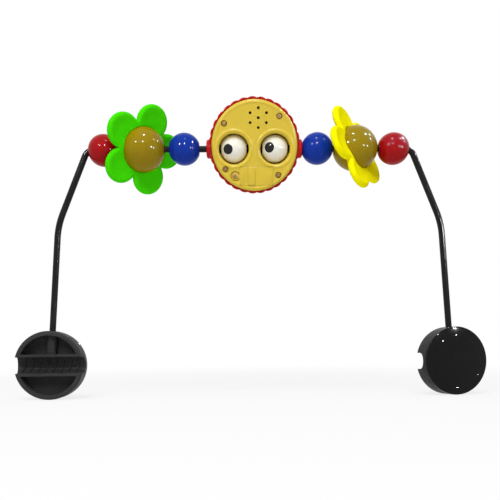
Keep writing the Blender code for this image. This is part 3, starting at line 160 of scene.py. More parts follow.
class FaceSizes(bpy.types.PropertyGroup):
    half_width: length("Half width", "Half of the front plate's width", 40.2)
    half_height: length("Half height", "Half of the front plate's height", 41.3)
    rise: length("Rise", "Height of the plate's middle above the wire", 2.9)
    pitch: angle("Pitch", "How far the face is turned down on the wire", 16.0)
    front: length("Front", "How far the plate stands before the wire", 11.5)
    plate: length("Plate", "Thickness of the plate", 3.0)
    chamfer: length("Chamfer", "Width of the plate's rounded edge", 2.6)
    drop: length("Chamfer drop", "Depth of the plate's rounded edge", 1.9)
    rim_height: length("Rim height", "Height of the raised rim round the plate", 0.4)
    rim_slope: length("Rim slope", "Width of the slope inside the raised rim", 1.5)
    skirt: length("Skirt", "Thickness of the plate's skirt", 2.0)
    skirt_end: length("Skirt end", "Where the skirt ends, before the wire", 6.8)
    ledge: length("Ledge", "Where the shell's ledge under the skirt is, before the wire", 6.5)
    ledge_width: length("Ledge width", "Width of the shell's ledge", 1.8)
    lip: length("Shell lip", "Where the shell's lip stands, before the wire", 8.2)
    back: length("Back", "How far the shell reaches behind the wire", 16.2)
    back_wall: length("Back wall", "Thickness of the shell's back", 2.2)
    wall: length("Shell wall", "Least thickness of the shell's wall", 1.2)
    back_round: length("Back rounding", "Rounding of the shell's back edge", 5.0)
    gap: length("Gap", "Gap between pieces that fit in each other", 0.3)
    flutes: IntProperty(name="Scallops", description="Scallops round the shell", default=31, min=3)
    flute: length("Scallop depth", "Depth of a scallop", 1.12)
    hub: length("Hub radius", "Radius of the hubs on the wire", 8.85)
    hub_round: length("Hub rounding", "Rounding of a hub's end", 2.2)
    hub_end: length("Hub end", "From the face's middle to the end of a hub", 45.25)
    sleeve: length("Sleeve radius", "Radius of the sleeves inside the shell", 6.0)
    sleeve_start: length("Sleeve start", "From the face's middle to a sleeve's inner end", 35.2)
    window: length("Window radius", "Radius of the windows for the eyes", 14.0)
    window_round: length("Window rounding", "Rounding of a window's edge", 2.6)
    socket: length("Socket wall", "Thickness of the wall round an eye behind its window", 1.2)
    socket_floor: length("Socket floor", "How far behind the wire the wall round an eye ends", 4.6)
    socket_waist: length("Socket waist", "Inner radius of an eye's wall, beside the wire", 13.55)
    socket_inner: length("Socket opening", "Radius of the opening where an eye's wall ends", 13.0)
    socket_slot: length("Socket slot", "Half width of the wire's slots in an eye's wall", 3.8)
    brow: length("Brow radius", "Outer radius of the raised ring round a window", 18.4)
    brow_edge: length("Brow edge", "Width of the raised ring's slope", 1.6)
    brow_height: length("Brow height", "Height of the raised ring", 0.6)
    grille_x: length("Grille place X", "Sideways place of the grille and the speaker", 3.5)
    grille_z: length("Grille place Z", "Height of the grille above the plate's middle", 24.8)
    grille: length("Grille radius", "Radius of the ring of holes", 8.7)
    hole: length("Hole radius", "Radius of a hole of the grille", 1.35)
    upper_left: angle("Upper left screw", "Where the screw is round the plate", 145.7)
    upper_right: angle("Upper right screw", "Where the screw is round the plate", 47.8)
    lower_left: angle("Lower left screw", "Where the screw is round the plate", -143.3)
    lower_right: angle("Lower right screw", "Where the screw is round the plate", -49.3)
    screw_inset: length("Screw inset", "From the plate's edge to a case screw", 6.0)
    screw_head: length("Screw head", "Radius of a screw's head", 2.5)
    screw_head_height: length("Screw head height", "Height of a case screw's head", 1.4)
    screw_length: length("Screw length", "Length of a case screw under its head", 12.0)
    cover_head_height: length("Cover head height", "Height of the head of the cover's screw", 0.7)
    cover_screw: length("Cover screw length", "Length of the cover's screw under its head", 4.0)
    screw_hole: length("Screw hole", "Radius of a screw's hole", 1.6)
    recess: length("Recess radius", "Radius of a screw's recess", 2.9)
    recess_depth: length("Recess depth", "Depth of a screw's recess", 2.5)
    boss: length("Boss radius", "Radius of the screw bosses behind the plate", 4.2)
    boss_length: length("Boss length", "From the plate's front to the end of a screw boss", 6.5)
    cover_x: length("Cover place X", "Sideways place of the battery cover", 1.7)
    cover_z: length("Cover place Z", "Height of the battery cover from the plate's middle", -27.5)
    cover_width: length("Cover width", "Width of the battery cover", 31.2)
    cover_height: length("Cover height", "Height of the battery cover", 17.2)
    cover: length("Cover thickness", "Thickness of the battery cover", 1.6)
    cover_gap: length("Cover gap", "Gap round the battery cover", 0.08)
    cover_seat: length("Cover seat", "Thickness of the cover under its screw's head", 0.8)
    cover_corner: length("Cover corner", "Rounding of the cover's corners", 1.2)
    tongue_x: length("Tongue place", "Sideways place of the cover's screw", -18.4)
    tongue: length("Tongue radius", "Radius of the cover's round tongue", 3.6)
    tongue_neck: length("Tongue neck", "Width of the tongue's neck", 3.6)
    tongue_recess: length("Tongue recess", "Radius of the recess round the tongue", 4.65)
    latch_x: length("Latch place", "Sideways place of the raised latch", -2.9)
    latch: length("Latch width", "Width of the raised latch", 6.7)
    latch_inset: length("Latch inset", "From the cover's edges to the latch", 0.2)
    latch_height: length("Latch height", "How far the latch stands proud", 1.0)
    mustard: colour("Mustard", "Front plate", 0.68, 0.50, 0.050)
    red: colour("Red", "Scalloped shell", 0.47, 0.009, 0.011)


class EyeSizes(bpy.types.PropertyGroup):
    radius: length("Radius", "Radius of an eyeball", 13.1)
    wall: length("Wall", "Thickness of an eyeball's wall", 2.0)
    seam: length("Seam", "Gap between the halves of an eyeball", 0.04)
    pupil: length("Pupil radius", "Radius of a pupil", 4.695)
    pupil_gap: length("Pupil gap", "Gap round a pupil", 0.12)
    sink: length("Pupil sink", "From the middle of the eye to the floor of the pupil's seat", 11.73)
    proud: length("Pupil proud", "How far a pupil stands out of the ball", 0.15)
    sideways: angle("Gaze", "How far the eyes look to the left", 26.5)
    left_turn: angle("Left turn", "Turn of the left eye round the wire", 16.0)
    right_turn: angle("Right turn", "Turn of the right eye round the wire", 9.0)
    white: colour("White", "Eyeball", 0.86, 0.84, 0.75)
    black: colour("Black", "Pupil", 0.004, 0.004, 0.005)


class ClipSizes(bpy.types.PropertyGroup):
    radius: length("Radius", "Radius of a clip", 32.2)
    front: length("Front", "Height of the channel side above the wire", 9.5)
    seam: length("Seam", "Depth of the seam between body and cap", 6.0)
    gap: length("Gap", "Gap between body and cap", 0.3)
    edge: length("Edge", "Rounding of the body's outer edge", 1.8)
    rim: length("Rim", "Thickness of the wall round the pockets", 4.2)
    floor: length("Floor", "Thickness of the pockets' floor", 2.6)
    corner: length("Pocket corner", "Rounding of the pockets' corners", 1.6)
    foot: length("Pocket foot", "Rounding between the pockets' walls and floor", 1.0)
    channel: length("Channel radius", "Radius of the channel for the frame tube", 7.6)
    channel_depth: length("Channel depth", "Depth of the channel", 13.3)
    flare: length("Channel flare", "Rounding of the channel's lips", 0.9)
    lip: length("Channel lip", "Width of the bars beside the channel", 2.6)
    ribs: IntProperty(name="Ribs", description="Grip ribs in a channel", default=8, min=1)
    pitch: length("Rib pitch", "From rib to rib", 7.2)
    rib: length("Rib thickness", "Thickness of a grip rib at its foot", 1.6)
    rib_top: length("Rib top", "Thickness of a grip rib at its top", 1.0)
    rib_height: length("Rib height", "How far a rib stands into the channel", 1.0)
    rib_reach: angle("Rib reach", "How far a rib climbs from the channel's floor", 68.0)
    slant: angle("Rib slant", "Slant of the ribs across the channel", 15.0)
    play: length("Socket play", "Gap between the wire and its socket", 0.3)
    boss: length("Boss wall", "Wall of the socket in the upper pocket", 1.4)
    side: length("Cap side", "Height of the cap's upright side", 3.0)
    dome: length("Dome", "Height of the cap's dome", 4.0)
    cap_edge: length("Cap edge", "Rounding of the cap's edge", 0.8)
    cap_wall: length("Cap wall", "Thickness of the cap", 2.5)
    ring: length("Ring radius", "Radius of the faint ring on the cap", 25.2)
    ring_depth: length("Ring depth", "Depth of the faint ring", 0.25)
    fork: length("Fork", "Thickness of the fork that grips the wire's neck", 1.2)
    turn: angle("Right turn", "Turn of the right clip round its leg", 14.5)
    matte: colour("Matte black", "Clamp body", 0.036, 0.036, 0.0365)
    gloss: colour("Gloss black", "Cap", 0.006, 0.006, 0.0065)


class StageSizes(bpy.types.PropertyGroup):
    camera_x: length("Camera X", "Sideways place of the camera", -15.2)
    camera_y: length("Camera Y", "Place of the camera before the bar", -640.0)
    camera_z: length("Camera Z", "Height of the camera above the clips' middles", 20.0)
    yaw: angle("Yaw", "How far the camera looks to the right", 1.19)
    roll: angle("Roll", "Roll of the camera", -0.64)
    lens: FloatProperty(name="Lens", description="Focal length in millimetres", default=48.54)
    shift: FloatProperty(name="Shift", description="Vertical shift of the view", default=0.1834)
    floor: colour("Floor", "Pale floor", 0.90, 0.90, 0.90)
    light: share("Light", "Strength of the soft light all round", 0.30)
    key: power("Key light", "Power of the large lamp", 28.0)
    spot: power("Spots", "Power of each small lamp", 3.2)
    spot_reach: length("Spot distance", "From the toys to each small lamp", 600.0)


# Shader maths

class Term:
    """One value or colour of a finish. Sums with it become nodes."""

    def __init__(self, finish, socket):
        self.finish = finish
        self.socket = socket

    def maths(self, operation, *values):
        return self.finish.node("ShaderNodeMath", {"operation": operation}, dict(enumerate(values)))

    def __add__(self, other):
        return self.maths("ADD", self, other)

    __radd__ = __add__

    def __sub__(self, other):
        return self.maths("SUBTRACT", self, other)

    def __rsub__(self, other):
        return self.maths("SUBTRACT", other, self)

    def __mul__(self, other):
        return self.maths("MULTIPLY", self, other)

    __rmul__ = __mul__

    def ramp(self, low, high):
        """0 below low, 1 above high, smooth between."""
        return self.finish.node("ShaderNodeMapRange", {"interpolation_type": "SMOOTHSTEP"},
                                {"Value": self, "From Min": low, "From Max": high})


class Finish:
    """A material and the nodes that make its finish."""

    def __init__(self, name):
        self.material = bpy.data.materials.new(name)
        self.material.use_nodes = True
        self.tree = self.material.node_tree
        self.shader = self.tree.nodes["Principled BSDF"]
        self.output = self.tree.nodes["Material Output"]
        self.place = self.node("ShaderNodeTexCoord", output="Object")

    def node(self, kind, settings=None, inputs=None, output=0):
        """Any node: its settings first, then the values or links of its sockets."""
        node = self.tree.nodes.new(kind)
        for key, value in (settings or {}).items():
            setattr(node, key, value)
        for key, value in (inputs or {}).items():
            self.feed(node.inputs[key], value)
        return Term(self, node.outputs[output])

    def feed(self, socket, value):
        if isinstance(value, Term):
            self.tree.links.new(value.socket, socket)
        elif socket.type == "RGBA" and len(value) == 3:
            socket.default_value = (*value, 1.0)
        else:
            socket.default_value = value

    def set(self, **values):
        """Sockets of the main shader by name, with _ for a space."""
        for name, value in values.items():
            self.feed(self.shader.inputs[name.replace("_", " ")], value)

    def noise(self, scale, detail=2.0, roughness=0.5, stretch=(1.0, 1.0, 1.0)):
        """Soft noise of that many lumps to the metre, as a value from 0 to 1."""
        spread = self.node("ShaderNodeMapping", inputs={"Vector": self.place, "Scale": stretch})
        return self.node("ShaderNodeTexNoise", inputs={
            "Vector": spread, "Scale": scale, "Detail": detail, "Roughness": roughness})

    def blend(self, amount, first, second):
        """Two colours mixed by an amount from 0 to 1."""
        return self.node("ShaderNodeMix", {"data_type": "RGBA"},
                         {0: amount, 6: first, 7: second}, output=2)

    def bump(self, height, distance):
        """Relief whose full height is a distance in metres."""
        return self.node("ShaderNodeBump", inputs={
            "Strength": 1.0, "Distance": distance, "Height": height})


def shaded(tint, factor):
    return tuple(min(1.0, part * factor) for part in tint)


def moulded(name, tint, rough, wave=0.00004, grain=0.0, spread=0.08, specular=0.1):
    """Moulded plastic: slow waves from the mould, fine grain, faint smudges and uneven gloss."""
    finish = Finish(name)
    cloud = finish.noise(28.0, 3.0)
    speck = finish.noise(420.0, 2.0)
    smudge = finish.noise(75.0, 4.0, 0.62)
    tone = (cloud * 0.75 + speck * 0.25).ramp(0.36, 0.64)
    finish.set(
        Base_Color=finish.blend(tone, shaded(tint, 1 - spread / 2), shaded(tint, 1 + spread / 2)),
        Roughness=smudge.ramp(0.35, 0.75) * rough * 0.5 + rough * 0.78,
        Specular_IOR_Level=specular,
        Normal=finish.bump(cloud + speck * (grain / wave), wave))
    return finish.material


def powder_coat(name, tint):
    """Black coat on steel wire, with orange peel and a few dull scuffs."""
    finish = Finish(name)
    peel = finish.noise(650.0, 2.0)
    scuff = finish.noise(90.0, 5.0, 0.7, stretch=(1.0, 1.0, 0.35)).ramp(0.52, 0.74)
    finish.set(
        Base_Color=finish.blend(scuff, tint, shaded(tint, 1.8)),
        Roughness=scuff * 0.12 + peel * 0.06 + 0.12, Specular_IOR_Level=0.1,
        Normal=finish.bump(peel, 0.00007))
    return finish.material


def worn_steel(name, tint=(0.52, 0.50, 0.47), rough=0.24):
    """Plated steel with fine turning marks and dull spots."""
    finish = Finish(name)
    turning = finish.noise(900.0, 3.0, stretch=(1.0, 0.1, 1.0))
    spot = finish.noise(260.0, 3.0).ramp(0.5, 0.7)
    finish.set(
        Base_Color=finish.blend(spot, tint, shaded(tint, 0.6)),
        Metallic=1.0, Roughness=turning * 0.2 + spot * 0.18 + rough,
        Normal=finish.bump(turning, 0.00003))
    return finish.material


# Shapes

def quarter(steps, first=0):
    """Turns from 0 to a quarter in even steps, from the first one that is wanted."""
    return [QUARTER * i / steps for i in range(first, steps + 1)]


def aimed(direction):
    """The turn that points Z in a direction."""
    return Vector((0, 0, 1)).rotation_difference(direction).to_matrix().to_4x4()


def verts_of(items):
    return [item for item in items if isinstance(item, bmesh.types.BMVert)]


def edges_of(items):
    return [item for item in items if isinstance(item, bmesh.types.BMEdge)]


def arc(radius, start, end, steps):
    """(distance from the axis, height) along a circle, from the pole's angle start to end."""
    turns = [start + (end - start) * i / steps for i in range(steps + 1)]
    return [(radius * math.sin(turn), radius * math.cos(turn)) for turn in turns]


def tidy(bm):
    bmesh.ops.remove_doubles(bm, verts=bm.verts, dist=MERGE)
    bmesh.ops.recalc_face_normals(bm, faces=bm.faces)


def turned(profile, closed=False, sides=SIDES):
    """A profile of (distance from Z, height) spun round Z."""
    bm = bmesh.new()
    points = [bm.verts.new((reach, 0, height)) for reach, height in profile]
    line = [bm.edges.new(pair) for pair in zip(points, points[1:])]
    if closed:
        line.append(bm.edges.new((points[-1], points[0])))
    bmesh.ops.spin(bm, geom=points + line, cent=(0, 0, 0), axis=(0, 0, 1), angle=FULL_TURN,
                   steps=sides, use_merge=True)
    tidy(bm)
    return bm


def rod(radius, start, end, sides=SIDES):
    """A solid rod from start to end."""
    start, end = Vector(start), Vector(end)
    bm = bmesh.new()
    bmesh.ops.create_cone(bm, cap_ends=True, segments=sides, radius1=radius, radius2=radius,
                          depth=(end - start).length,
                          matrix=Matrix.Translation((start + end) / 2) @ aimed(end - start))
    return bm


def block(low, high):
    """A block between two corners."""
    low, high = Vector(low), Vector(high)
    bm = bmesh.new()
    size = Matrix.Diagonal((*(high - low), 1.0))
    bmesh.ops.create_cube(bm, size=1.0, matrix=Matrix.Translation((low + high) / 2) @ size)
    return bm


def round_edges(bm, width, steps=3, over=SHARP, chosen=None):
    """Rounds every edge that turns by more than an angle, or only the chosen ones."""
    if chosen is None:
        chosen = [e for e in bm.edges if len(e.link_faces) == 2 and e.calc_face_angle(0.0) > over]
    bmesh.ops.bevel(bm, geom=chosen, offset=width, offset_type="OFFSET", affect="EDGES",
                    segments=steps, profile=0.5, material=-1, clamp_overlap=True)
    return bm


def sliced(bm, point, normal):
    """Cuts along a plane and keeps the side of the normal. Gives the edges of the cut."""
    made = bmesh.ops.bisect_plane(bm, geom=bm.verts[:] + bm.edges[:] + bm.faces[:], dist=MERGE,
                                  plane_co=point, plane_no=normal, clear_inner=True)
    return edges_of(made["geom_cut"])


def keep_side(bm, point, normal):
    """Cuts a shell along a plane, keeps the side of the normal and closes its wall."""
    bmesh.ops.bridge_loops(bm, edges=sliced(bm, point, normal))
    tidy(bm)
    return bm


def ball_shell(radius, wall, mouth, bore, steps=40):
    """A hollow ball with a bore along Z and a flat ring round each mouth."""
    inner = radius - wall
    edge = math.asin(mouth / radius)
    inner_edge = math.asin(bore / inner)
    plane = math.sqrt(radius ** 2 - mouth ** 2)
    outside = arc(radius, edge, math.pi - edge, steps)
    inside = arc(inner, math.pi - inner_edge, inner_edge, steps // 2)
    return turned([(bore, plane)] + outside + [(bore, -plane)] + inside, closed=True)


def pushed_out(bm, loop):
    """Extrudes a loop. Gives the new edges, and each new corner with the one it came from."""
    made = bmesh.ops.extrude_edge_only(bm, edges=loop)["geom"]
    corners = verts_of(made)
    new = set(corners)
    edges = [edge for edge in edges_of(made) if new.issuperset(edge.verts)]
    pairs = [(vert, next(edge.other_vert(vert) for edge in vert.link_edges
                         if edge.other_vert(vert) not in new)) for vert in corners]
    return edges, pairs


def lofted(levels, count, closed=False):
    """A loop pushed from level to level. A level gives the place of the corner of a number."""
    bm = bmesh.new()
    made = bmesh.ops.create_circle(bm, cap_ends=not closed, radius=1.0, segments=count)
    number = {vert: i for i, vert in enumerate(made["verts"])}
    loop = list(dict.fromkeys(edge for vert in number for edge in vert.link_edges))
    for vert, i in number.items():
        vert.co = levels[0](i)
    for level in levels[1:] + (levels[:1] if closed else []):
        loop, pairs = pushed_out(bm, loop)
        number = {vert: number[source] for vert, source in pairs}
        for vert, i in number.items():
            vert.co = level(i)
    if not closed:
        bmesh.ops.contextual_create(bm, geom=loop)
    tidy(bm)
    return bm


def moved(bm, place):
    bmesh.ops.transform(bm, matrix=place, verts=bm.verts)
    return bm


def thing(name, bm):
    """An object in the scene that holds a shape."""
    mesh = bpy.data.meshes.new(name)
    bm.to_mesh(mesh)
    bm.free()
    made = bpy.data.objects.new(name, mesh)
    bpy.context.scene.collection.objects.link(made)
    return made


class Solid:
    """A shape that others are cut from or joined to."""

    def __init__(self, bm):
        self.body = thing("shape", bm)
        self.tools = []

    def combine(self, bm, operation):
        tool = thing("shape", bm)
        self.tools.append(tool)
        step = self.body.modifiers.new("step", "BOOLEAN")
        step.operation = operation
        step.object = tool
        step.solver = "EXACT"
        return self

    def cut(self, bm):
        return self.combine(bm, "DIFFERENCE")

    def join(self, bm):
        return self.combine(bm, "UNION")

    def result(self):
        """The finished shape. The helpers are removed."""
        bpy.context.view_layer.update()
        done = self.body.evaluated_get(bpy.context.evaluated_depsgraph_get())
        bm = bmesh.new()
        bm.from_mesh(done.to_mesh())
        done.to_mesh_clear()
        for helper in [self.body, *self.tools]:
            mesh = helper.data
            bpy.data.objects.remove(helper)
            bpy.data.meshes.remove(mesh)
        tidy(bm)
        slits = [edge for edge in bm.edges if edge.is_boundary]
        if slits:
            bmesh.ops.holes_fill(bm, edges=slits, sides=4)
            bmesh.ops.dissolve_degenerate(bm, edges=bm.edges, dist=NO_LENGTH)
        return bm


def make_piece(name, bm, material, body, slot, *nodes, sharp=SHARP):
    """A finished piece that rides on a body and stands for the CAD nodes."""
    piece = thing(name, bm)
    mesh = piece.data
    mesh.polygons.foreach_set("use_smooth", [True] * len(mesh.polygons))
    mesh.set_sharp_from_angle(angle=sharp)
    mesh.materials.append(material)
    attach(piece, body)
    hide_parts(*nodes)
    return piece


def pivot(joint):
    """Place and axis of a joint."""
    return Vector(JOINTS[joint]["pos_m"]), Vector(JOINTS[joint]["axis"])


# Wire

KNEE_STEPS = 12
CORNER_STEPS = 14


class Bender:
    """Draws a wire by pushing its section along, as the bending machine does."""

    def __init__(self, radius, start, direction, sides=32):
        self.bm = bmesh.new()
        self.at = Vector(start)
        self.way = Vector(direction).normalized()
        made = bmesh.ops.create_circle(self.bm, cap_ends=True, radius=radius, segments=sides,
                                       matrix=Matrix.Translation(self.at) @ aimed(self.way))
        self.edges = list(dict.fromkeys(edge for vert in made["verts"] for edge in vert.link_edges))

    def straight(self, run, scale=1.0):
        self.edges, pairs = pushed_out(self.bm, self.edges)
        verts = [vert for vert, _ in pairs]
        bmesh.ops.translate(self.bm, verts=verts, vec=self.way * run)
        self.at = self.at + self.way * run
        bmesh.ops.scale(self.bm, verts=verts, vec=(scale, scale, scale),
                        space=Matrix.Translation(-self.at))

    def bend(self, turn, radius, steps):
        """Turns the way from +Z towards +X."""
        side = Vector((self.way.z, 0, -self.way.x))
        centre = self.at + side * radius
        verts = list(dict.fromkeys(vert for edge in self.edges for vert in edge.verts))
        made = bmesh.ops.spin(self.bm, geom=verts + self.edges, cent=centre, axis=(0, 1, 0),
                              angle=turn, steps=steps)
        self.edges = edges_of(made["geom_last"])
        spun = Matrix.Rotation(turn, 3, "Y")
        self.at = centre + spun @ (self.at - centre)
        self.way = spun @ self.way

    def close(self):
        bmesh.ops.contextual_create(self.bm, geom=self.edges)
        tidy(self.bm)
        return self.bm


def wire_shape(sizes):
    """The bar from the left foot to the right one, with a neck near each foot."""
    foot, up = pivot("left_clip_swivel")
    lower_lean = math.atan2(up.x, up.z)
    knee_turn = sizes.upper_lean - lower_lean
    corner_turn = QUARTER - sizes.upper_lean
    knee_cut = sizes.knee * math.tan(knee_turn / 2)
    corner_cut = sizes.bend * math.tan(corner_turn / 2)
    corner_x = (-foot.x - sizes.lower_leg * math.sin(lower_lean)
                - sizes.upper_leg * math.sin(sizes.upper_lean))
    lower = sizes.lower_leg - sizes.end - sizes.foot - sizes.neck_length - knee_cut
    upper = sizes.upper_leg - knee_cut - corner_cut
    wire = Bender(sizes.radius, foot + up * sizes.end, up)

    def neck():
        slope, narrower = 0.15 * MM, sizes.neck / sizes.radius
        wire.straight(slope, narrower)
        wire.straight(sizes.neck_length - 2 * slope)
        wire.straight(slope, 1 / narrower)

    wire.straight(sizes.foot)
    neck()
    wire.straight(lower)
    wire.bend(knee_turn, sizes.knee, KNEE_STEPS)
    wire.straight(upper)
    wire.bend(corner_turn, sizes.bend, CORNER_STEPS)
    wire.straight(2 * (corner_x - corner_cut))
    wire.bend(corner_turn, sizes.bend, CORNER_STEPS)
    wire.straight(upper)
    wire.bend(knee_turn, sizes.knee, KNEE_STEPS)
    wire.straight(lower)
    neck()
    wire.straight(sizes.foot)
    return wire.close()


class TOYBAR_OT_wire(bpy.types.Operator):
    """Make the bent wire that carries everything"""
    bl_idname = "toybar.wire"
    bl_label = "Wire"

    def execute(self, context):
        sizes = context.scene.toy_wire
        coat = powder_coat("wire_coat", sizes.paint)
        make_piece("bar_wire", wire_shape(sizes), coat, "wire_bar", "black_steel", "toy_bar_wire")
        return {"FINISHED"}


# Beads

# Side and colour of each bead, and degrees from its own X to its moulding nub
NUB_TURNS = (("left", "red", 0.0), ("left", "blue", 100.0),
             ("right", "blue", 80.0), ("right", "red", 120.0))


def bead_half(sizes, place, outward, nub_turn=None):
    """One half shell, with the moulding nub where it is wanted."""
    bm = ball_shell(sizes.radius, sizes.wall, sizes.mouth, sizes.bore)
    keep_side(bm, (0, 0, sizes.seam / 2), (0, 0, 1))
    if nub_turn is not None:
        surface = math.sqrt(sizes.radius ** 2 - sizes.nub_place ** 2)
        nub = rod(sizes.nub, (-surface + sizes.wall / 2, 0, sizes.nub_place),
                  (-surface - sizes.nub_height, 0, sizes.nub_place), 24)
        round_edges(nub, sizes.nub_height * 0.8, 4)
        bm = Solid(bm).join(moved(nub, Matrix.Rotation(nub_turn, 4, "Z"))).result()
    if not outward:
        bmesh.ops.rotate(bm, verts=bm.verts, cent=(0, 0, 0),
                         matrix=Matrix.Rotation(math.pi, 3, "X"))
    return moved(bm, place)


class TOYBAR_OT_beads(bpy.types.Operator):
    """Make the four beads, each of two half shells"""
    bl_idname = "toybar.beads"
    bl_label = "Beads"

    def execute(self, context):
        sizes = context.scene.toy_beads
        finishes = {"red": moulded("bead_red", sizes.red, GLOSSY),
                    "blue": moulded("bead_blue", sizes.blue, GLOSSY)}
        for side, tint, nub_turn in NUB_TURNS:
            bead = f"{side}_{tint}_bead"
            centre, axis = pivot(f"{bead}_spin")
            place = Matrix.Translation(centre) @ aimed(axis)
            outer_first = (axis.x > 0) == (side == "right")
            outer = bead_half(sizes, place, outer_first, math.radians(nub_turn))
            inner = bead_half(sizes, place, not outer_first)
            make_piece(f"{bead}_outer", outer, finishes[tint], bead, tint, f"{bead}_outer_half")
            make_piece(f"{bead}_inner", inner, finishes[tint], bead, tint, f"{bead}_inner_half")
        return {"FINISHED"}


# Flowers

PETALS = 5
PETAL_POINTS = 32


def eased(part):
    """0 below 0, 1 above 1, smooth between."""
    part = min(1.0, max(0.0, part))
    return part * part * (3 - 2 * part)


def petal_edge(sizes, inset, i):
    """Point i of the joined petals' outline, drawn in by an inset."""
    step = math.pi / PETALS
    across = sizes.reach * math.sin(step)
    valley = sizes.reach * math.cos(step) + math.sqrt(sizes.petal ** 2 - across ** 2)
    sweep = math.atan2(valley * math.sin(step), valley * math.cos(step) - sizes.reach)
    petal, along = divmod(i, PETAL_POINTS)
    turn = Matrix.Rotation(2 * step * petal, 3, "Z")
    if along == 0:
        outwards = Vector((math.cos(step), -math.sin(step), 0))
        return turn @ ((valley - inset * sizes.creep) * outwards)
    bend = -sweep + 2 * sweep * along / PETAL_POINTS
    radius = sizes.petal - inset
    return turn @ Vector((sizes.reach + radius * math.cos(bend), radius * math.sin(bend), 0))


def petal_height(sizes, point):
    """Half of the petals' thickness at a point: full near every petal's edge, thin in its dish."""
    step = FULL_TURN / PETALS
    ends = [sizes.reach * Vector((math.cos(step * i), math.sin(step * i), 0))
            for i in range(PETALS)]
    depth = max(sizes.petal - (point - end).length for end in ends)
    sunk = eased((depth - sizes.dish_start) / (sizes.dish_end - sizes.dish_start))
    return (sizes.rim + (sizes.dish - sizes.rim) * sunk) / 2


def petals_shape(sizes):
    """Five petals in one: a round rim, a shallow dish in each, and a thin root in the ball."""
    rim, root = sizes.rim / 2, sizes.root / 2
    collar = sizes.ball + 0.25 * MM
    rim_steps, dish_steps = 7, 16

    def level(inset, inward, height, side):
        """A loop: the drawn-in outline, moved inward by a share of the way to the collar."""
        def place(i):
            point = petal_edge(sizes, inset, i)
            point = point.lerp(point.normalized() * collar, inward)
            tall = petal_height(sizes, point) if height is None else height
            return point + Vector((0, 0, side * tall))
        return place

    def around(radius, side):
        def place(i):
            return petal_edge(sizes, 0.0, i).normalized() * radius + Vector((0, 0, side * root))
        return place

    def face(side):
        loops = [level(rim * (1 - math.cos(turn)), 0.0, rim * math.sin(turn), side)
                 for turn in quarter(rim_steps, first=1)]
        loops += [level(rim, i / dish_steps, None, side) for i in range(1, dish_steps + 1)]
        return loops + [around(collar, side), around(sizes.hole, side)]

    loops = [level(0.0, 0.0, 0.0, 1)] + face(1) + face(-1)[::-1]
    return lofted(loops, PETALS * PETAL_POINTS, closed=True)


def flower_places(joint, tilt, turn, phase):
    """Places of the petals, and of the ball turned along the wire."""
    centre, _ = pivot(joint)
    across = Vector((math.sin(tilt), math.cos(tilt), 0))
    normal = Vector((math.cos(tilt), -math.sin(tilt), 0))
    axes = Matrix((across, Vector((0, 0, 1)), normal)).transposed().to_4x4()
    spun = Matrix.Translation(centre) @ Matrix.Rotation(turn, 4, "X")
    petals = spun @ axes @ Matrix.Rotation(phase, 4, "Z")
    ball = Matrix.Translation(centre) @ Matrix.Rotation(QUARTER, 4, "Y")
    facing = (spun.to_3x3() @ normal).normalized()
    return petals, ball, centre, facing


class TOYBAR_OT_flowers(bpy.types.Operator):
    """Make the two flowers, petals and ball"""
    bl_idname = "toybar.flowers"
    bl_label = "Flowers"

    def execute(self, context):
        sizes = context.scene.toy_flowers
        bore = context.scene.toy_beads.bore
        mouth = context.scene.toy_beads.mouth
        ochre = moulded("ball_ochre", sizes.ochre, GLOSSY)
        for tint in ("green", "yellow"):
            flower = f"{tint}_flower"
            angles = [getattr(sizes, f"{tint}_{what}") for what in ("tilt", "turn", "phase")]
            petals, ball, centre, facing = flower_places(f"{flower}_spin", *angles)
            finish = moulded(f"petal_{tint}", getattr(sizes, tint), 0.42, spread=0.04, specular=0.0)
            make_piece(f"{flower}_ring", moved(petals_shape(sizes), petals), finish, flower, tint,
                       f"{flower}_petals", sharp=math.radians(50))
            for half, way in (("front", facing), ("back", -facing)):
                bm = moved(ball_shell(sizes.ball, sizes.ball_wall, mouth, bore, 56), ball)
                keep_side(bm, centre + way * (sizes.root / 2 + 0.1 * MM), way)
                round_edges(bm, 0.15 * MM, 2, over=math.radians(55))
                make_piece(f"{flower}_{half}", bm, ochre, flower, "ochre", f"{flower}_ball_{half}")
        return {"FINISHED"}


# Face. Its own frame: origin in the plate's middle, -Y out of its front, the wire below it.

FACE_POINTS = 160
SHELL_POINTS = 12
CORNERS = ("upper_left", "upper_right", "lower_left", "lower_right")


def face_place(context):
    """Where the face's own frame is."""
    sizes = context.scene.toy_face
    centre, _ = pivot("face_spin")
    return (Matrix.Translation(centre) @ Matrix.Rotation(sizes.pitch, 4, "X")
            @ Matrix.Translation((0, 0, sizes.rise)))


def eye_places():
    """Sideways places of the eyes from the face's middle."""
    middle = pivot("face_spin")[0].x
    return [pivot(f"{side}_eye_roll")[0].x - middle for side in ("left", "right")]


def facing_viewer(x, y, z):
    """A place whose Z points out of the face's front."""
    return Matrix.Translation((x, y, z)) @ Matrix.Rotation(QUARTER, 4, "X")


def on_oval(sizes, turn, grow, scale=1.0):
    """Sideways place and height on the plate's outline, grown by a width and then scaled."""
    return ((sizes.half_width + grow) * scale * math.cos(turn),
            (sizes.half_height + grow) * scale * math.sin(turn))


def case_screws(sizes):
    """Places of the four case screws on the plate."""
    return [on_oval(sizes, getattr(sizes, corner), -sizes.screw_inset) for corner in CORNERS]


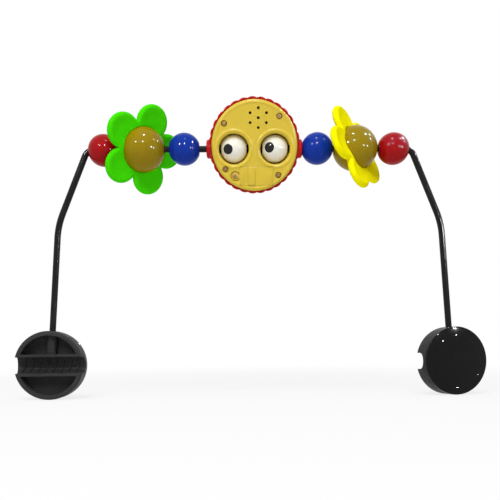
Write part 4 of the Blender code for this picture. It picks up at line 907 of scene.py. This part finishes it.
def plate_shape(sizes):
    """Front plate with its rounded edge, raised rings, windows, grille and recesses."""
    front, back = -sizes.front, -sizes.front + sizes.plate
    eyes = [Vector((x, -sizes.rise)) for x in eye_places()]
    rings = 64

    def swell(x, z):
        """Height of the raised rings round the windows and of the raised rim."""
        away = min((Vector((x, z)) - eye).length for eye in eyes)
        edge = sizes.half_width * (1 - math.hypot(x / sizes.half_width, z / sizes.half_height))
        return max(eased((sizes.brow - away) / sizes.brow_edge) * sizes.brow_height,
                   (1 - eased((edge - sizes.chamfer) / sizes.rim_slope)) * sizes.rim_height)

    def oval(inset, y, raised=False, scale=1.0):
        def place(i):
            x, z = on_oval(sizes, FULL_TURN * i / FACE_POINTS, -inset, scale)
            return Vector((x, y - (swell(x, z) if raised else 0.0), z))
        return place

    loops = [oval(sizes.skirt, back, scale=0.05), oval(sizes.skirt, back),
             oval(sizes.skirt, -sizes.skirt_end), oval(0.0, -sizes.skirt_end)]
    fall = sizes.drop + sizes.rim_height
    loops += [oval(sizes.chamfer * (1 - math.cos(turn)), front + sizes.drop - fall * math.sin(turn))
              for turn in quarter(6)]
    loops += [oval(sizes.chamfer, front, raised=True, scale=1 - 0.95 * i / rings)
              for i in range(1, rings + 1)]
    plate = Solid(lofted(loops, FACE_POINTS))

    tongue = (sizes.tongue_x, sizes.cover_z)
    for x, z in case_screws(sizes) + [tongue]:
        plate.join(rod(sizes.boss, (x, back - MM, z), (x, front + sizes.boss_length, z), 32))
    outer = sizes.window + sizes.socket
    end, inner = -sizes.socket_floor, sizes.socket_inner
    wall = [(sizes.window - SLIVER, MM - back), (outer, MM - back), (outer, end), (inner, end),
            (inner, MM + end), (sizes.socket_waist, 0.0)]
    slot = sizes.socket_slot
    for eye in eyes:
        socket = Solid(moved(turned(wall, closed=True, sides=96), facing_viewer(eye.x, 0, eye.y)))
        socket.cut(block((eye.x - outer - MM, -slot, eye.y - slot),
                         (eye.x + outer + MM, sizes.socket_floor + MM, eye.y + slot)))
        plate.join(socket.result())
    lip = sizes.window_round
    profile = [(0.0, 3 * lip), (sizes.window + lip, 3 * lip)]
    profile += [(sizes.window + lip - lip * math.cos(turn), lip * math.sin(turn))
                for turn in (1.5 - 1.5 * i / 8 for i in range(9))]
    profile += [(sizes.window, -2 * sizes.plate), (0.0, -2 * sizes.plate)]
    for eye in eyes:
        place = facing_viewer(eye.x, front - sizes.brow_height + lip, eye.y)
        plate.cut(moved(turned(profile, sides=96), place))

    def drill(radius, x, z, depth, sides=32):
        plate.cut(rod(radius, (x, front - 3 * MM, z), (x, front + depth, z), sides))

    through = sizes.plate + MM
    drill(sizes.hole, sizes.grille_x, sizes.grille_z, through)
    for i in range(6):
        turn = math.pi / 6 + math.pi / 3 * i
        drill(sizes.hole, sizes.grille_x + sizes.grille * math.cos(turn),
              sizes.grille_z + sizes.grille * math.sin(turn), through)
    floor = sizes.cover + sizes.gap
    for x, z in case_screws(sizes):
        drill(sizes.recess, x, z, sizes.recess_depth)
        drill(sizes.screw_hole, x, z, sizes.boss_length + MM)
    drill(sizes.tongue_recess, *tongue, floor)
    drill(sizes.screw_hole, *tongue, sizes.boss_length + MM)
    half_w = sizes.cover_width / 2 + sizes.cover_gap
    half_h = sizes.cover_height / 2 + sizes.cover_gap
    plate.cut(block((sizes.cover_x - half_w, front - 3 * MM, sizes.cover_z - half_h),
                    (sizes.cover_x + half_w, front + floor, sizes.cover_z + half_h)))
    return plate.result()


def cover_shape(sizes):
    """Battery cover with its round tongue and raised latch."""
    front, back = -sizes.front, -sizes.front + sizes.cover
    x, z = sizes.cover_x, sizes.cover_z
    half_w, half_h = sizes.cover_width / 2, sizes.cover_height / 2
    plate = block((x - half_w, front, z - half_h), (x + half_w, back, z + half_h))
    upright = [edge for edge in plate.edges if abs((edge.verts[0].co - edge.verts[1].co).y) > MM]
    round_edges(plate, sizes.cover_corner, 5, chosen=upright)
    round_edges(plate, 0.25 * MM, 2, over=math.radians(60))
    cover = Solid(plate)
    sunk = 0.02 * MM
    tongue_x = sizes.tongue_x
    cover.join(rod(sizes.tongue, (tongue_x, front + sunk, z), (tongue_x, back - sunk, z), 48))
    cover.join(block((tongue_x, front + 2 * sunk, z - sizes.tongue_neck / 2),
                     (x - half_w + MM, back - 2 * sunk, z + sizes.tongue_neck / 2)))
    latch_x, inset = sizes.latch_x, sizes.latch_inset
    latch = block((latch_x - sizes.latch / 2, front - sizes.latch_height, z - half_h + inset),
                  (latch_x + sizes.latch / 2, back - sizes.gap, z + half_h - inset))
    cover.join(round_edges(latch, 0.5 * MM, 3))
    seat = back - sizes.cover_seat
    cover.cut(rod(sizes.recess - 0.1 * MM, (tongue_x, front - MM, z), (tongue_x, seat, z), 32))
    cover.cut(rod(sizes.screw_hole, (tongue_x, front - MM, z), (tongue_x, back + MM, z), 24))
    return cover.result()


def screw_shape(sizes, head, shank):
    """A pan head screw with a cross slot: its head on +Z, the head's seat at its own origin."""
    radius = sizes.screw_head
    crown = 0.4
    profile = [(0.0, head)]
    profile += [(radius * math.sin(turn), head * (1 - crown + crown * math.cos(turn)))
                for turn in quarter(6, first=1)]
    core = sizes.screw_hole - sizes.gap
    profile += [(radius, 0.0), (core, 0.0), (core, core - shank), (0.2 * core, -shank),
                (0.0, -shank)]
    screw = Solid(turned(profile, sides=40))
    arm, width, slot_floor = 0.62 * radius, 0.14 * radius, 0.45 * head
    for long, wide in ((arm, width), (width, arm)):
        screw.cut(block((-long, -wide, slot_floor), (long, wide, head + MM)))
    return screw.result()


def shell_shape(sizes, bore):
    """Red shell: a scalloped wall round the plate, a plain back and two hubs on the wire."""
    count = sizes.flutes * SHELL_POINTS
    base = sizes.gap + sizes.wall
    lip, back, bend = -sizes.lip, sizes.back, sizes.back_round

    def scalloped(grow, depth, y):
        def place(i):
            turn = FULL_TURN * i / count
            bump = depth * abs(math.cos(sizes.flutes * turn / 2)) ** 0.8
            x, z = on_oval(sizes, turn, base + grow + bump)
            return Vector((x, y, z))
        return place

    def plain(grow, y, scale=1.0):
        def place(i):
            x, z = on_oval(sizes, FULL_TURN * i / count, grow, scale)
            return Vector((x, y, z))
        return place

    inner = sizes.gap - sizes.ledge_width
    floor = back - sizes.back_wall
    loops = [plain(inner, floor, 0.03), plain(inner - MM, floor), plain(inner, floor - MM),
             plain(inner, -sizes.ledge), plain(sizes.gap, -sizes.ledge),
             plain(sizes.gap, lip + CHAMFER), plain(sizes.gap + CHAMFER, lip)]
    soft = 0.5 * MM
    loops += [scalloped(-soft * (1 - math.sin(turn)), sizes.flute * (0.6 + 0.4 * math.sin(turn)),
                        lip + soft * (1 - math.cos(turn))) for turn in quarter(4, first=1)]
    loops.append(scalloped(0.0, sizes.flute, (lip + back - bend) / 2))
    loops += [scalloped(-bend * (1 - math.cos(turn)), sizes.flute * math.cos(turn),
                        back - bend + bend * math.sin(turn)) for turn in quarter(7)]
    loops += [plain(base - bend, back, scale) for scale in (0.9, 0.7, 0.45, 0.2, 0.03)]
    shell = Solid(lofted(loops, count))

    axle = Vector((0, 0, -sizes.rise))
    hub_start = sizes.half_width + 1.1 * MM
    hub = [(0.0, sizes.hub_end)]
    hub += [(sizes.hub - sizes.hub_round + x, sizes.hub_end - sizes.hub_round + z)
            for x, z in arc(sizes.hub_round, 0, QUARTER, 6)]
    hub += [(sizes.hub, hub_start), (0.0, hub_start)]
    for side in (-1, 1):
        place = Matrix.Translation(axle) @ Matrix.Rotation(side * QUARTER, 4, "Y")
        shell.join(moved(turned(hub), place))
        wall = axle + Vector((side * (sizes.half_width - 0.9 * MM), 0, 0))
        shell.join(rod(sizes.sleeve, axle + Vector((side * sizes.sleeve_start, 0, 0)), wall, 48))
    post_end = -sizes.front + sizes.boss_length + sizes.gap
    for x, z in case_screws(sizes):
        shell.join(rod(sizes.boss - 2 * sizes.gap, (x, floor + MM, z), (x, post_end, z), 32))
    reach = Vector((sizes.hub_end + MM, 0, 0))
    shell.cut(rod(bore, axle - reach, axle + reach, 48))
    for x, z in case_screws(sizes):
        shell.cut(rod(sizes.screw_hole, (x, post_end - MM, z), (x, floor - 1.5 * MM, z), 24))
    return shell.result()


class TOYBAR_OT_face(bpy.types.Operator):
    """Make the round face: front plate, shell and battery cover"""
    bl_idname = "toybar.face"
    bl_label = "Face"

    def execute(self, context):
        sizes = context.scene.toy_face
        bore = context.scene.toy_beads.bore
        mustard = moulded("plate_mustard", sizes.mustard, 0.30, grain=0.00003, spread=0.06)
        red = moulded("shell_red", sizes.red, 0.18)
        place = face_place(context)
        make_piece("face_plate", moved(plate_shape(sizes), place), mustard, "face", "mustard",
                   "face_front", sharp=math.radians(38))
        make_piece("face_shell", moved(shell_shape(sizes, bore), place), red, "face", "red",
                   "face_back", sharp=math.radians(50))
        make_piece("face_cover", moved(cover_shape(sizes), place), mustard, "face", "mustard",
                   "battery_cover")
        return {"FINISHED"}


class TOYBAR_OT_fittings(bpy.types.Operator):
    """Make the screws and give the sound unit its finishes"""
    bl_idname = "toybar.fittings"
    bl_label = "Screws and sound unit"

    def execute(self, context):
        sizes = context.scene.toy_face
        brass = worn_steel("screw_brass", (0.21, 0.13, 0.045), 0.46)
        place = face_place(context)
        seat = sizes.recess_depth - sizes.gap - sizes.front
        for corner, (x, z) in zip(CORNERS, case_screws(sizes)):
            screw = screw_shape(sizes, sizes.screw_head_height, sizes.screw_length)
            turn = facing_viewer(x, seat, z) @ Matrix.Rotation(x / MM, 4, "Z")
            make_piece(f"screw_{corner}", moved(screw, place @ turn), brass, "face", "steel",
                       f"case_screw_{corner}")
        seat = sizes.cover - sizes.cover_seat - sizes.gap - sizes.front
        screw = screw_shape(sizes, sizes.cover_head_height, sizes.cover_screw)
        turn = facing_viewer(sizes.tongue_x, seat, sizes.cover_z)
        make_piece("screw_cover", moved(screw, place @ turn), brass, "face", "steel", "cover_screw")
        steel = worn_steel("cell_steel")
        finishes = {"speaker": moulded("speaker_cone", (0.05, 0.04, 0.02), 0.6),
                    "circuit_board": moulded("board_green", (0.02, 0.16, 0.05), 0.45),
                    "button_cell_left": steel, "button_cell_right": steel}
        for name, finish in finishes.items():
            for slot in frame["nodes"][name].material_slots:
                slot.material = finish
        return {"FINISHED"}


# Eyes

class TOYBAR_OT_eyes(bpy.types.Operator):
    """Make the two rolling eyes, each of two half shells and a pupil"""
    bl_idname = "toybar.eyes"
    bl_label = "Eyes"

    def execute(self, context):
        sizes = context.scene.toy_eyes
        bore = context.scene.toy_beads.bore
        mouth = context.scene.toy_beads.mouth
        white = moulded("eye_white", sizes.white, 0.10, spread=0.03)
        black = moulded("eye_black", sizes.black, 0.08, specular=0.3)
        for side, turn in (("left", sizes.left_turn), ("right", sizes.right_turn)):
            centre, _ = pivot(f"{side}_eye_roll")
            eye = f"{side}_eye"
            rolled = Matrix.Rotation(turn, 3, "X")
            gaze = rolled @ Vector((-math.sin(sizes.sideways), -math.cos(sizes.sideways), 0))
            along = Matrix.Translation(centre) @ Matrix.Rotation(QUARTER, 4, "Y")
            for half, way in (("left", -1), ("right", 1)):
                bm = moved(ball_shell(sizes.radius, sizes.wall, mouth, bore), along)
                normal = Vector((way, 0, 0))
                keep_side(bm, centre + normal * sizes.seam / 2, normal)
                if half == "left":
                    seat = rod(sizes.pupil + sizes.pupil_gap, centre + gaze * sizes.sink,
                               centre + gaze * sizes.radius * 1.3, 64)
                    bm = Solid(bm).cut(seat).result()
                make_piece(f"{eye}_{half}", bm, white, eye, "white", f"{eye}_{half}_half")
            dome = sizes.radius + sizes.proud
            edge = math.asin(sizes.pupil / dome)
            base = sizes.sink + 2 * sizes.pupil_gap
            pupil = turned(arc(dome, 0.0, edge, 10) + [(sizes.pupil, base), (0.0, base)])
            round_edges(pupil, 0.2 * MM, 3)
            moved(pupil, Matrix.Translation(centre) @ aimed(gaze))
            make_piece(f"{eye}_disc", pupil, black, eye, "black_eye", f"{eye}_pupil")
        return {"FINISHED"}


# Clips. Their own frame: Z out of the channel side, Y up, origin on the wire's axis.

SOCKET_START = 0.4 * MM


def clip_place(context, side):
    """Where a clip's own frame is. The right clip is turned round, so that its cap is in front."""
    sizes = context.scene.toy_clips
    centre, axis = pivot(f"{side}_clip_swivel")
    stand = Matrix.Rotation(QUARTER, 4, "X")
    if side == "left":
        return Matrix.Translation(centre) @ stand
    if axis.z < 0:
        axis = -axis
    turned_round = Matrix.Rotation(math.pi, 4, "Z")
    return Matrix.Translation(centre) @ Matrix.Rotation(sizes.turn, 4, axis) @ turned_round @ stand


def wire_lean():
    _, up = pivot("left_clip_swivel")
    return math.atan2(abs(up.x), abs(up.z))


def along_wire(distance, z=0.0):
    """A point on the socket's axis, at a distance above the clip's middle."""
    lean = wire_lean()
    return Vector((distance * math.sin(lean), distance * math.cos(lean), z))


def half_moon(sizes, side):
    """A pocket: what the clip's inside holds beyond a chord, with rounded corners and floor."""
    chord = sizes.channel + sizes.lip
    low, high = sizes.floor - sizes.seam, sizes.front + MM
    radius = sizes.radius - sizes.rim
    bm = rod(radius, (0, 0, low), (0, 0, high), 96)
    rim = sliced(bm, (0, side * chord, 0), (0, side, 0))
    bmesh.ops.contextual_create(bm, geom=rim)
    upright = [e for e in rim if abs(e.verts[0].co.z - e.verts[1].co.z) > (high - low) / 2]
    round_edges(bm, sizes.corner, 5, chosen=upright)
    foot = [e for e in bm.edges if all(abs(v.co.z - low) < MERGE for v in e.verts)]
    round_edges(bm, sizes.foot, 3, chosen=foot)
    tidy(bm)
    return bm


def channel_tool(sizes):
    """What the channel takes away: a round trough with upright sides and flared lips."""
    floor = sizes.front - sizes.channel_depth
    middle = floor + sizes.channel
    steps = 24
    outline = [(-sizes.channel * math.cos(turn), middle - sizes.channel * math.sin(turn))
               for turn in (math.pi * i / steps for i in range(steps + 1))]
    lip = [(sizes.channel + sizes.flare * (1 - math.cos(turn)),
            sizes.front - sizes.flare * (1 - math.sin(turn))) for turn in quarter(4, first=1)]
    lip.append((sizes.channel + sizes.flare, sizes.front + MM))
    outline += lip + [(-y, z) for y, z in reversed(lip)]
    reach = sizes.radius + 2 * MM
    bm = bmesh.new()
    verts = [bm.verts.new((-reach, y, z)) for y, z in outline]
    face = bm.faces.new(verts)
    made = bmesh.ops.extrude_face_region(bm, geom=[face])["geom"]
    bmesh.ops.translate(bm, verts=verts_of(made), vec=(2 * reach, 0, 0))
    bmesh.ops.recalc_face_normals(bm, faces=bm.faces)
    return bm


def rib_shape(sizes):
    """A grip rib along the round floor of the channel, narrower at its top."""
    outer = sizes.channel + 0.4 * MM
    inner = sizes.channel - sizes.rib_height
    corners = [(-sizes.rib_top / 2, inner), (-sizes.rib / 2, outer),
               (sizes.rib / 2, outer), (sizes.rib_top / 2, inner)]
    start = sizes.rib_reach
    bm = bmesh.new()
    verts = [bm.verts.new((x, -reach * math.sin(start), -reach * math.cos(start)))
             for x, reach in corners]
    loop = [bm.edges.new((verts[i], verts[(i + 1) % 4])) for i in range(4)]
    cap = bm.faces.new(verts)
    bmesh.ops.spin(bm, geom=[cap] + verts + loop, cent=(0, 0, 0), axis=(1, 0, 0), angle=2 * start,
                   steps=18)
    tidy(bm)
    return bm


def clip_body(context):
    """Clamp body, with its ribbed channel, two pockets and the socket for the wire."""
    sizes = context.scene.toy_clips
    wire = context.scene.toy_wire
    seam = -sizes.seam
    radius, front, edge = sizes.radius, sizes.front, sizes.edge
    profile = [(0.0, front)]
    profile += [(radius - edge + x, front - edge + z) for x, z in arc(edge, 0, QUARTER, 7)]
    profile += [(radius, seam + CHAMFER), (radius - CHAMFER, seam), (0.0, seam)]
    body = Solid(turned(profile, sides=128))
    for side in (-1, 1):
        body.cut(half_moon(sizes, side))
    chord = sizes.channel + sizes.lip
    inside = radius - sizes.rim
    socket = wire.radius + sizes.play
    boss = socket + sizes.boss
    low, high = chord - 0.5 * MM, inside + 0.5 * MM
    body.join(rod(boss, along_wire(low), along_wire(high), 48))
    lean = Matrix.Rotation(-wire_lean(), 4, "Z")
    body.join(moved(block((-boss + SLIVER, low + SLIVER, seam + sizes.floor - MM),
                          (boss - SLIVER, high - SLIVER, -SLIVER)), lean))
    body.cut(channel_tool(sizes))
    middle = front - sizes.channel_depth + sizes.channel
    for i in range(sizes.ribs):
        x = (i - (sizes.ribs - 1) / 2) * sizes.pitch
        place = Matrix.Translation((x, 0, middle)) @ Matrix.Rotation(-sizes.slant, 4, "Z")
        body.join(moved(rib_shape(sizes), place))
    start = chord + SOCKET_START
    end = radius + MM
    body.cut(rod(socket, along_wire(start), along_wire(end), 40))
    body.cut(moved(block((-socket + SLIVER, start + SLIVER, seam - MM),
                         (socket - SLIVER, end, SLIVER)), lean))
    return body.result()


def clip_cap(context):
    """Domed cap with the key that closes the wire's slot and the fork that holds the wire."""
    sizes = context.scene.toy_clips
    wire = context.scene.toy_wire
    top = -sizes.seam - sizes.gap
    edge = top - sizes.side
    inside = top - sizes.cap_wall
    radius = sizes.radius
    inner = radius - sizes.rim
    shoulder = radius - sizes.cap_edge
    groove = sizes.ring_depth

    def dome_at(reach):
        return edge - sizes.dome + (sizes.dome - sizes.cap_edge) * (reach / shoulder) ** 2

    profile = [(0.0, inside), (inner, inside), (inner, top),
               (radius - CHAMFER, top), (radius, top - CHAMFER)]
    profile += [(shoulder + sizes.cap_edge * math.cos(turn), edge - sizes.cap_edge * math.sin(turn))
                for turn in quarter(6)]
    profile += [(reach, dome_at(reach)) for reach in
                (shoulder + (sizes.ring + groove - shoulder) * i / 5 for i in range(1, 6))]
    profile.append((sizes.ring, dome_at(sizes.ring) + groove))
    start = sizes.ring - 5 * groove
    profile += [(reach, dome_at(reach)) for reach in
                (sizes.ring - 4 * groove, *(start * (1 - i / 16) for i in range(17)))]
    cap = Solid(turned(profile, sides=128))
    lean = Matrix.Rotation(-wire_lean(), 4, "Z")
    half = wire.radius
    key_top = -wire.radius - 0.4 * MM
    start = sizes.channel + sizes.lip + SOCKET_START + sizes.play
    cap.join(moved(block((-half, start, inside - MM),
                         (half, radius - sizes.rim / 2, key_top)), lean))
    fork_low = wire.end + wire.foot + (wire.neck_length - sizes.fork) / 2
    fork_high = fork_low + sizes.fork
    narrower = 0.15 * MM
    tine = half - narrower
    neck = wire.neck + sizes.play
    cap.join(moved(block((-tine, fork_low, key_top - MM), (tine, fork_high, 1.2 * MM)), lean))
    low, high = fork_low - sizes.play, fork_high + sizes.play
    cap.cut(moved(rod(neck, (0, low, 0), (0, high, 0), 32), lean))
    cap.cut(moved(block((-neck + narrower, low, 0.0), (neck - narrower, high, 3 * MM)), lean))
    return cap.result()


class TOYBAR_OT_clips(bpy.types.Operator):
    """Make the two clamps, each of a body and a cap"""
    bl_idname = "toybar.clips"
    bl_label = "Clips"

    def execute(self, context):
        sizes = context.scene.toy_clips
        matte = moulded("clip_matte", sizes.matte, 0.46, grain=0.00002, spread=0.2, specular=0.05)
        gloss = moulded("clip_gloss", sizes.gloss, 0.07, spread=0.2)
        for side in ("left", "right"):
            place = clip_place(context, side)
            make_piece(f"{side}_clamp", moved(clip_body(context), place), matte, f"{side}_clip",
                       "black_matte", f"{side}_clip_body", sharp=math.radians(40))
            make_piece(f"{side}_cap", moved(clip_cap(context), place), gloss, f"{side}_clip",
                       "black_gloss", f"{side}_clip_cap", sharp=math.radians(25))
        return {"FINISHED"}


# Stage

# Where the small lamps stand, as degrees to the right of the viewer and degrees above the toys
SPOTS = ((0, 62), (-35, 20), (0, 24), (72, 43), (101, 37), (86, 25), (43, 2), (60, 1))
SPOT_WIDTH, SPOT_HEIGHT = 0.024, 0.018
KEY_WIDTH, KEY_PLACE = 1.5, (-0.2, -1.1, 1.4)
TOYS = Vector((0.0, 0.0, 0.2))
FLOOR_RADIUS = 6.0
FLOOR_WHITE = 0.8


def lamp(name, power, place, width, height=None):
    """A lamp that faces the toys: a round one, or with a height a rectangle."""
    data = bpy.data.lights.new(name, "AREA")
    data.shape = "RECTANGLE" if height else "DISK"
    data.size = width
    if height:
        data.size_y = height
    data.energy = power
    made = bpy.data.objects.new(name, data)
    made.location = place
    made.rotation_euler = (TOYS - Vector(place)).to_track_quat("-Z", "Y").to_euler()
    bpy.context.scene.collection.objects.link(made)
    return made


def seen_directly(finish):
    """1 for what the camera, a mirror or glass sees, 0 for light on the object."""
    rays = [finish.node("ShaderNodeLightPath", output=f"Is {kind} Ray")
            for kind in ("Camera", "Glossy", "Transmission")]
    return rays[0].maths("MAXIMUM", rays[0], rays[1].maths("MAXIMUM", rays[1], rays[2]))


class Sky(Finish):
    """The world's own nodes."""

    def __init__(self, world):
        world.use_nodes = True
        self.tree = world.node_tree
        self.shader = self.tree.nodes["Background"]


def make_floor(sizes, height):
    """A wide pale disc that keeps the shadow and fades into the white background."""
    bm = bmesh.new()
    bmesh.ops.create_circle(bm, cap_ends=True, radius=FLOOR_RADIUS, segments=96,
                            matrix=Matrix.Translation((0, 0, height)))
    floor = thing("floor", bm)
    finish = Finish("floor_pale")
    cloud = finish.noise(3.0, 2.0)
    finish.set(Base_Color=finish.blend(cloud, shaded(sizes.floor, 0.985), sizes.floor),
               Roughness=0.9, Specular_IOR_Level=0.0)
    glow = finish.tree.nodes.new("ShaderNodeEmission")
    glow.inputs["Strength"].default_value = 1.0
    mix = finish.tree.nodes.new("ShaderNodeMixShader")
    away = finish.node("ShaderNodeVectorMath", {"operation": "LENGTH"}, {0: finish.place},
                       output="Value")
    white = away.ramp(0.25, 0.9) * (1 - FLOOR_WHITE) + FLOOR_WHITE
    finish.feed(mix.inputs[0], white * seen_directly(finish))
    finish.tree.links.new(finish.shader.outputs[0], mix.inputs[1])
    finish.tree.links.new(glow.outputs[0], mix.inputs[2])
    finish.tree.links.new(mix.outputs[0], finish.output.inputs["Surface"])
    floor.data.materials.append(finish.material)
    floor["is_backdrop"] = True


class TOYBAR_OT_stage(bpy.types.Operator):
    """Make the floor, the soft light and the camera"""
    bl_idname = "toybar.stage"
    bl_label = "Stage"

    def execute(self, context):
        sizes = context.scene.toy_stage
        scene = context.scene
        low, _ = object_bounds()
        make_floor(sizes, low.z)
        world = scene.world or bpy.data.worlds.new("studio")
        scene.world = world
        sky = Sky(world)
        direct = seen_directly(sky)
        sky.feed(sky.shader.inputs["Color"], (1.0, 1.0, 1.0))
        sky.feed(sky.shader.inputs["Strength"], direct * (1.0 - sizes.light) + sizes.light)
        key = lamp("key", sizes.key, KEY_PLACE, KEY_WIDTH)
        key.visible_glossy = False
        for i, (right, above) in enumerate(SPOTS):
            right, above = math.radians(right), math.radians(above)
            turn = Matrix.Rotation(right, 3, "Z") @ Matrix.Rotation(-above, 3, "X")
            place = TOYS + turn @ Vector((0, -sizes.spot_reach, 0))
            spot = lamp(f"spot_{i + 1}", sizes.spot, place, SPOT_WIDTH, SPOT_HEIGHT)
            spot.visible_diffuse = False
        camera = bpy.data.objects.new("camera", bpy.data.cameras.new("camera"))
        camera.data.lens = sizes.lens
        camera.data.sensor_width = 36.0
        camera.data.shift_y = sizes.shift
        camera.data.clip_start = 0.01
        turn = Matrix.Rotation(-sizes.yaw, 4, "Z") @ Matrix.Rotation(QUARTER, 4, "X")
        camera.matrix_world = (Matrix.Translation((sizes.camera_x, sizes.camera_y, sizes.camera_z))
                               @ turn @ Matrix.Rotation(sizes.roll, 4, "Z"))
        scene.collection.objects.link(camera)
        scene.camera = camera
        scene.view_settings.view_transform = "Standard"
        return {"FINISHED"}


# Panel and start

class TOYBAR_PT_panel(bpy.types.Panel):
    """Lists the pieces of the toy bar"""
    bl_idname = "TOYBAR_PT_panel"
    bl_label = "Toy Bar"
    bl_space_type = "VIEW_3D"
    bl_region_type = "UI"
    bl_category = "Toy Bar"

    def draw(self, context):
        for operator in OPERATORS:
            self.layout.operator(operator.bl_idname)


GROUPS = {"toy_wire": WireSizes, "toy_beads": BeadSizes, "toy_flowers": FlowerSizes,
          "toy_face": FaceSizes, "toy_eyes": EyeSizes, "toy_clips": ClipSizes,
          "toy_stage": StageSizes}
OPERATORS = (TOYBAR_OT_wire, TOYBAR_OT_beads, TOYBAR_OT_flowers, TOYBAR_OT_face,
             TOYBAR_OT_fittings, TOYBAR_OT_eyes, TOYBAR_OT_clips, TOYBAR_OT_stage)


def register():
    for name, group in GROUPS.items():
        bpy.utils.register_class(group)
        setattr(bpy.types.Scene, name, PointerProperty(type=group))
    for operator in OPERATORS:
        bpy.utils.register_class(operator)
    bpy.utils.register_class(TOYBAR_PT_panel)


def unregister():
    bpy.utils.unregister_class(TOYBAR_PT_panel)
    for operator in reversed(OPERATORS):
        bpy.utils.unregister_class(operator)
    for name, group in GROUPS.items():
        delattr(bpy.types.Scene, name)
        bpy.utils.unregister_class(group)


def main():
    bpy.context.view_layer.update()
    register()
    for operator in OPERATORS:
        group, name = operator.bl_idname.split(".")
        getattr(getattr(bpy.ops, group), name)()


if __name__ == "__main__":
    main()
